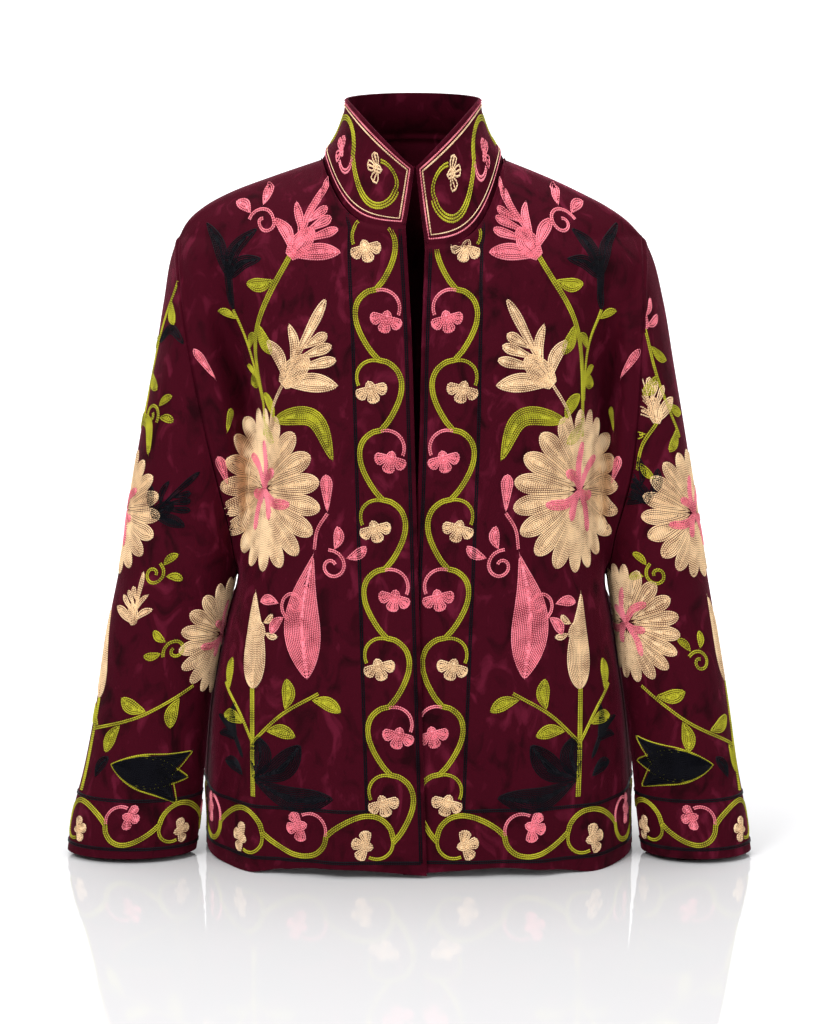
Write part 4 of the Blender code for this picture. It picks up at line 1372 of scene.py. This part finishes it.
# Bowed stems with leaves, each from a start to an end
SPRIG_COLUMNS = ("thread", "leaves", "size", "rows", "hand", "start", "end", "bow")
FRONT_SPRIGS = (
    ("green", 4, 30, 3, 1, (4, 17), (6, 12), 0.1),
    ("green", 3, 20, 2, -1, (6, 13), (6.5, 15.5), 0.05),
    ("cream", 0, 0, 2, 1, (4.5, 13.5), (5.5, 12), 0.05),
    ("pink", 0, 0, 2, 1, (3, 10), (3.5, 9), 0.1),
    ("green", 0, 0, 3, 1, (6, 5), (6, 2), 0.0),
    ("green", 3, 30, 2, 1, (6, 3.5), (3.5, 5), -0.05),
    ("green", 2, 30, 2, -1, (6, 3.5), (7.5, 5), 0.05),
)

# The front half of each sleeve. The two sleeves carry different motifs.
SLEEVE_MOTIFS = {
    -1: (
        ("crescent", "black", 1, 16.5, 0, 40, 1),
        ("tendril", "green", 2.5, 14, 60, 12, 1),
        ("crescent", "green", 0, 14, 320, 50, 1),
        ("rosette", "cream", 0, 11, 0, 60, 1),
        ("palmette", "black", 3, 11, 45, 60, -1),
        ("tendril", "green", 4, 9.5, 330, 12, -1),
        ("palmette", "cream", 3, 7.5, 90, 50, 1),
        ("rosette", "cream", 9, 7, 0, 55, 1),
        ("tendril", "green", 5, 6.5, 120, 12, -1),
        ("standing", "cream", 1, 5, 95, 85, 1),
        ("tulip", "black", 3, 3, 350, 80, 1),
        ("leaf", "black", 2, 2.5, 60, 25, 1),
    ),
    1: (
        ("palmette", "pink", 3, 17, 100, 55, -1),
        ("palmette", "cream", 3.5, 14, 80, 60, 1),
        ("rosette", "cream", 1.5, 11, 0, 60, -1),
        ("palmette", "black", 4.5, 11.5, 60, 70, -1),
        ("tendril", "green", 5, 9.5, 330, 12, -1),
        ("rosette", "cream", 7, 7.5, 0, 55, -1),
        ("tendril", "green", 3.5, 6.5, 120, 12, 1),
        ("standing", "cream", 0.5, 5.5, 80, 85, 1),
        ("tulip", "black", 3, 3, 0, 80, 1),
        ("leaf", "black", 2, 2.5, 60, 25, 1),
    ),
}
SLEEVE_SPRIGS = {
    -1: (
        ("green", 4, 25, 2, 1, (2, 18.5), (1, 14), -0.1),
        ("green", 4, 30, 2, 1, (7, 5.5), (1, 4), 0.05),
        ("green", 0, 0, 3, 1, (1, 5), (1, 2), 0.0),
    ),
    1: (
        ("green", 4, 25, 2, -1, (3, 17), (2, 13.5), 0.05),
        ("green", 2, 20, 2, 1, (3.5, 14), (5, 12.5), 0.1),
        ("green", 4, 30, 2, -1, (6.5, 5.5), (1, 3.5), 0.05),
        ("green", 0, 0, 3, 1, (0.5, 5.5), (1, 2), 0.0),
    ),
}
# Down the middle of the back, which the photo doesn't show
BACK_MOTIFS = (
    ("palmette", "pink", 0, 12, 90, 80, 1),
    ("rosette", "cream", 0, 8, 0, 50, 1),
    ("tulip", "black", 0, 2.5, 90, 70, 1),
)

# Straight rows of black stitches that frame the bands, from the cloth's edge
FRONT_EDGE_LINES = (5, 53)
HEM_LINES = (9, 57)
CUFF_LINES = (8, 54)
LINE_ROWS = 2
FIELD_REACH = 330
NECKLINE = 600
EDGE_VINE_SPACING = 63
HEM_VINE_SPACING = 62
CUFF_VINE_SPACING = 52
COLLAR_VINE_SPACING = 42
COLLAR_STRETCH = 1.4
EDGE_VINE_HALF = 20
EDGE_VINE_TOP = (30, 595)
EDGE_VINE_COUNT = 9
BAND_MARGIN = 4
VINE_THREADS = ("cream", "pink")
COLLAR_MARGIN = 12
BUD_WIDTH = 0.3
HANGING_BEND = 0.07
STANDING_BEND = 0.03
PIPING_WIDTH = 2.6
PIPING_LIFT = 0.4
PIPING_INSET = 1.6
DROP_WIDTH = 0.35
CRESCENT_WIDTH = 0.25
CRESCENT_BEND = 0.35
PETALS = 19


def motif_rows(motifs, step):
    """Rows of stitches of a table of motifs."""
    rows = []
    for values in motifs:
        item = dict(zip(MOTIF_COLUMNS, values))
        shape, thread, size, hand = item["shape"], item["thread"], item["size"], item["hand"]
        place = (item["across"] * step[0], item["up"] * step[1])
        if shape == "rosette":
            rows += rosette(thread, "pink", place, size, PETALS, hand)
        elif shape == "bud":
            rows += leaf(thread, place, item["turn"], size, BUD_WIDTH * size, HANGING_BEND, "hanging bud")
        elif shape == "standing":
            rows += leaf(thread, place, item["turn"], size, BUD_WIDTH * size, STANDING_BEND, "standing bud")
        elif shape == "crescent":
            bend = CRESCENT_BEND * item["hand"]
            rows += leaf(thread, place, item["turn"], size, CRESCENT_WIDTH * size, bend, "sickle")
        elif shape == "drop":
            rows += leaf(thread, place, item["turn"], size, DROP_WIDTH * size, 0.0, "lobe")
        elif shape == "leaf":
            rows += leaf(thread, place, item["turn"], size)
        else:
            draw = {"palmette": palmette, "tendril": tendril, "pronged": pronged, "pod": pod, "tulip": tulip}
            rows += draw[shape](thread, place, item["turn"], size, hand)
    return rows


def sprig_rows(sprigs, step):
    """Rows of stitches of bowed stems with leaves."""
    rows = []
    for values in sprigs:
        item = dict(zip(SPRIG_COLUMNS, values))
        start, end = np.array(item["start"]) * step, np.array(item["end"]) * step
        across = np.array((start[1] - end[1], end[0] - start[0]))
        spots = (start, (start + end) / 2 + item["bow"] * across, end)
        rows += sprig(item["thread"], spots, item["leaves"], item["size"], item["rows"], item["hand"])
    return rows


def piping(spots):
    """A rolled lip of velvet along an edge."""
    return [("lip", smooth_line(spots), False, PIPING_LIFT, PIPING_WIDTH)]


def front_rows():
    """All stitches of one front, in the cloth's own millimetres."""
    rows = piping(((PIPING_INSET, HEM_LINES[0]), (PIPING_INSET, NECKLINE)))
    rows += motif_rows(FRONT_MOTIFS, FRONT_STEP) + sprig_rows(FRONT_SPRIGS, FRONT_STEP)
    for out, low in zip(FRONT_EDGE_LINES, HEM_LINES):
        rows += stem("black", ((out, low), (out, NECKLINE)), LINE_ROWS)
    rows += running_vine(EDGE_VINE_TOP, 270, EDGE_VINE_SPACING, EDGE_VINE_COUNT, -1, EDGE_VINE_HALF, VINE_THREADS)
    rows += band_rows(FRONT_EDGE_LINES, HEM_LINES, HEM_VINE_SPACING, 30)
    return rows


def back_rows():
    """All stitches of one half of the back."""
    rows = motif_rows(FRONT_MOTIFS + BACK_MOTIFS, FRONT_STEP) + sprig_rows(FRONT_SPRIGS, FRONT_STEP)
    return rows + band_rows((0, 0), HEM_LINES, HEM_VINE_SPACING, 5)


def band_rows(starts, lines, spacing, first):
    """A band of scroll vine between two lines of stitches, along the hem or cuff."""
    rows = []
    for start, rise in zip(starts, lines):
        rows += stem("black", ((start, rise), (FIELD_REACH, rise)), LINE_ROWS)
    count = int((FIELD_REACH - first) / spacing)
    middle = (lines[0] + lines[1]) / 2
    half = (lines[1] - lines[0]) / 2 - BAND_MARGIN
    return rows + running_vine((first, middle), 0, spacing, count, 1, half, VINE_THREADS)


def sleeve_rows(side):
    """All stitches of one half of a sleeve."""
    rows = motif_rows(SLEEVE_MOTIFS[side], SLEEVE_STEP) + sprig_rows(SLEEVE_SPRIGS[side], SLEEVE_STEP)
    return rows + band_rows((0, 0), CUFF_LINES, CUFF_VINE_SPACING, 5)


def collar_rows():
    """Stitches of one half of the collar: edge lines and a scroll vine."""
    rim = BAND_WIDTH / MM - PIPING_INSET
    rows = piping(((PIPING_INSET, rim), (FIELD_REACH, rim)))
    rows += piping(((PIPING_INSET, PIPING_INSET), (PIPING_INSET, rim)))
    for thread, inset in (("pink", 4), ("cream", 6.5)):
        high = BAND_WIDTH / MM - inset
        rows += stem(thread, ((inset, inset), (FIELD_REACH, inset)), 1)
        rows += stem(thread, ((inset, high), (FIELD_REACH, high)), 1)
        rows += stem(thread, ((inset, inset), (inset, high)), 1)
    middle = BAND_WIDTH / MM / 2
    vine = running_vine((10, middle), 0, COLLAR_VINE_SPACING, 6, -1, middle - COLLAR_MARGIN, VINE_THREADS)
    return rows + [(row[0], row[1] * (COLLAR_STRETCH, 1.0), *row[2:]) for row in vine]


def sewn(name, parts):
    """Join the stitches of some fields into one piece for each thread."""
    for thread in ("lip", "pink", "cream", "green", "black"):
        chosen = [(field, [row for row in rows if row[0] == thread]) for field, rows in parts]
        mesh = stitch_mesh(name + "_" + thread, chosen)
        if mesh is None:
            continue
        mesh.materials.append(material(thread))
        item = show(name + "_" + thread, mesh)
        bpy.ops.object.shade_smooth_by_angle(angle=math.radians(80))
        wear(item)




# Camera and lights of the studio, in metres and degrees
CAMERA_PLACE = (-0.0033, -2.5, 0.0)
CAMERA_TILT = 7.6
FILM_HEIGHT = 24.0
LENS = 62.27
LIGHT_COLUMNS = ("name", "x", "y", "z", "width", "height", "power")
LIGHTS = (
    ("key", -1.5, -2.2, 1.7, 1.2, 1.2, 80.0),
    ("fill", 1.7, -2.0, 0.9, 1.4, 1.8, 30.0),
    ("top", 0.0, 0.1, 2.3, 2.0, 1.6, 55.0),
)
FLOOR_HALF = 4.0
BACKDROP_PLACE = 2.2
BACKDROP_RISE = 3.2
COVE_WIDTH = 1.0
COVE_STEPS = 16
FLOOR_COLOUR = (0.66, 0.66, 0.67)
BACKDROP_GLOW = 0.7
GLOW_REACH = 1.5
WORLD_LIGHT = 0.35
VELVET_SHEEN = 0.24
LIP_SHEEN = 0.9


def make_floor():
    """A floor that curves up into the backdrop."""
    bpy.ops.object.select_all(action="DESELECT")
    bpy.ops.mesh.primitive_plane_add(size=2 * FLOOR_HALF, location=(0, BACKDROP_PLACE - FLOOR_HALF, FLOOR))
    item = bpy.context.active_object
    item.name = "floor"
    bpy.ops.object.mode_set(mode="EDIT")
    bpy.ops.mesh.select_all(action="DESELECT")
    shape = bmesh.from_edit_mesh(item.data)
    for edge in shape.edges:
        edge.select = all(abs(v.co.y - FLOOR_HALF) < 1e-4 for v in edge.verts)
    bmesh.update_edit_mesh(item.data)
    bpy.ops.mesh.extrude_edges_move(TRANSFORM_OT_translate={"value": (0, 0, BACKDROP_RISE)})
    bpy.ops.mesh.select_all(action="DESELECT")
    shape = bmesh.from_edit_mesh(item.data)
    for edge in shape.edges:
        edge.select = all(abs(v.co.y - FLOOR_HALF) < 1e-4 and abs(v.co.z) < 1e-4 for v in edge.verts)
    bmesh.update_edit_mesh(item.data)
    bpy.ops.mesh.bevel(offset=COVE_WIDTH, segments=COVE_STEPS, affect="EDGES")
    bpy.ops.object.mode_set(mode="OBJECT")
    bpy.ops.object.transform_apply(location=True, rotation=True, scale=True)
    bpy.ops.object.shade_smooth()
    for face in item.data.polygons:
        face.use_smooth = abs(face.normal.z) < 0.999
    item.data.materials.append(material("floor"))


def make_lights():
    """Soft boxes turned to the jacket, and a plain pale surround."""
    for row in LIGHTS:
        box = dict(zip(LIGHT_COLUMNS, row))
        place = Vector((box["x"], box["y"], box["z"]))
        bpy.ops.object.light_add(type="AREA", location=place)
        lamp = bpy.context.active_object
        lamp.name = "light_" + box["name"]
        lamp.data.shape = "RECTANGLE"
        lamp.data.size = box["width"]
        lamp.data.size_y = box["height"]
        lamp.data.energy = box["power"]
        lamp.rotation_euler = (-place).to_track_quat("-Z", "Y").to_euler()
    world = bpy.data.worlds.new("surround")
    bpy.context.scene.world = world
    world.use_nodes = True
    world.node_tree.nodes["Background"].inputs["Color"].default_value = (1.0, 1.0, 1.0, 1.0)
    world.node_tree.nodes["Background"].inputs["Strength"].default_value = WORLD_LIGHT


def make_camera():
    """The photographer's view of the front."""
    lens = bpy.data.cameras.new("view")
    lens.sensor_fit = "VERTICAL"
    lens.sensor_height = FILM_HEIGHT
    lens.lens = LENS
    item = bpy.data.objects.new("view", lens)
    bpy.context.scene.collection.objects.link(item)
    item.location = CAMERA_PLACE
    item.rotation_euler = (math.radians(90 - CAMERA_TILT), 0, 0)
    bpy.context.scene.camera = item
    bpy.context.scene.view_settings.view_transform = "Standard"


MAKERS = {
    "velvet": lambda: velvet_material("velvet", VELVET_SHEEN),
    "inside": lining_material,
    "floor": floor_material,
    # Each thread gets its colour, the darker colour of its painted shade in the gaps and at the row sides, and its
    # roughness.
    "pink": lambda: thread_material("pink", (0.92, 0.24, 0.30), (0.30, 0.04, 0.06), 0.62),
    "cream": lambda: thread_material("cream", (0.86, 0.60, 0.36), (0.26, 0.12, 0.06), 0.62),
    "green": lambda: thread_material("green", (0.42, 0.40, 0.025), (0.10, 0.08, 0.012), 0.62),
    "black": lambda: thread_material("black", (0.004, 0.004, 0.007), (0.001, 0.001, 0.002), 0.6),
    "lip": lambda: velvet_material("lip", LIP_SHEEN),
}


class JacketSizes(bpy.types.PropertyGroup):
    """Sizes of the cloth and its trim."""

    cloth_thickness: bpy.props.FloatProperty(
        name="Cloth thickness", description="Thickness of the velvet with its backing",
        default=0.0018, unit="LENGTH",
    )


class JacketColours(bpy.types.PropertyGroup):
    """Colours of the velvet and the threads."""

    velvet: bpy.props.FloatVectorProperty(
        name="Velvet", description="Ground colour of the velvet",
        default=(0.046, 0.0012, 0.0070), subtype="COLOR",
    )
    velvet_light: bpy.props.FloatVectorProperty(
        name="Brushed velvet", description="Velvet where its pile lies over",
        default=(0.100, 0.006, 0.020), subtype="COLOR",
    )


class JACKET_OT_body(bpy.types.Operator):
    """Make the two fronts and the back"""

    bl_idname = "jacket.body"
    bl_label = "Fronts and back"

    def execute(self, context):
        for name in ("front_right", "front_left", "back"):
            cloth_piece(name)
        return {"FINISHED"}


class JACKET_OT_sleeves(bpy.types.Operator):
    """Make the two sleeves"""

    bl_idname = "jacket.sleeves"
    bl_label = "Sleeves"

    def execute(self, context):
        for name in ("sleeve_right", "sleeve_left"):
            cloth_piece(name)
        return {"FINISHED"}


class JACKET_OT_collar(bpy.types.Operator):
    """Make the stand collar"""

    bl_idname = "jacket.collar"
    bl_label = "Collar"

    def execute(self, context):
        cloth_piece("collar")
        return {"FINISHED"}


class JACKET_OT_front_stitches(bpy.types.Operator):
    """Embroider the two fronts"""

    bl_idname = "jacket.front_stitches"
    bl_label = "Embroidery of the fronts"

    def execute(self, context):
        for side, name in ((-1, "front_right_stitches"), (1, "front_left_stitches")):
            field = Field("front", side)
            sewn(name, [(field, front_rows())])
        return {"FINISHED"}


class JACKET_OT_back_stitches(bpy.types.Operator):
    """Embroider the back"""

    bl_idname = "jacket.back_stitches"
    bl_label = "Embroidery of the back"

    def execute(self, context):
        sewn("back_stitches", [(Field("back", side), back_rows()) for side in (-1, 1)])
        return {"FINISHED"}


class JACKET_OT_sleeve_stitches(bpy.types.Operator):
    """Embroider the sleeves"""

    bl_idname = "jacket.sleeve_stitches"
    bl_label = "Embroidery of the sleeves"

    def execute(self, context):
        for side, name in ((-1, "sleeve_right_stitches"), (1, "sleeve_left_stitches")):
            rows = sleeve_rows(side)
            sewn(name, [(Field(half, side), rows) for half in ("sleeve", "sleeve_back")])
        return {"FINISHED"}


class JACKET_OT_collar_stitches(bpy.types.Operator):
    """Embroider the collar"""

    bl_idname = "jacket.collar_stitches"
    bl_label = "Embroidery of the collar"

    def execute(self, context):
        sewn("collar_stitches", [(Field("collar", side), collar_rows()) for side in (-1, 1)])
        return {"FINISHED"}


class JACKET_OT_stage(bpy.types.Operator):
    """Set up the floor, lights and camera"""

    bl_idname = "jacket.stage"
    bl_label = "Floor, lights and camera"

    def execute(self, context):
        make_camera()
        make_floor()
        make_lights()
        return {"FINISHED"}


OPERATORS = (
    JACKET_OT_stage,
    JACKET_OT_body,
    JACKET_OT_sleeves,
    JACKET_OT_collar,
    JACKET_OT_front_stitches,
    JACKET_OT_back_stitches,
    JACKET_OT_sleeve_stitches,
    JACKET_OT_collar_stitches,
)


class JACKET_PT_panel(bpy.types.Panel):
    """The jacket's sizes, colours and making steps"""

    bl_label = "Jacket"
    bl_idname = "JACKET_PT_panel"
    bl_space_type = "VIEW_3D"
    bl_region_type = "UI"
    bl_category = "Jacket"

    def draw(self, context):
        for group in (context.scene.jacket_sizes, context.scene.jacket_colours):
            for name in group.__annotations__:
                self.layout.prop(group, name)
        for step in OPERATORS:
            self.layout.operator(step.bl_idname)


CLASSES = (JacketSizes, JacketColours, *OPERATORS, JACKET_PT_panel)


def register():
    """Add the classes and the scene's settings."""
    for item in CLASSES:
        bpy.utils.register_class(item)
    bpy.types.Scene.jacket_sizes = bpy.props.PointerProperty(type=JacketSizes)
    bpy.types.Scene.jacket_colours = bpy.props.PointerProperty(type=JacketColours)


def unregister():
    """Take the classes and settings away again."""
    del bpy.types.Scene.jacket_sizes
    del bpy.types.Scene.jacket_colours
    for item in reversed(CLASSES):
        bpy.utils.unregister_class(item)


def main():
    """Register the add-on and run each of its making steps."""
    register()
    for step in OPERATORS:
        group, name = step.bl_idname.split(".")
        getattr(getattr(bpy.ops, group), name)()


if __name__ == "__main__":
    main()
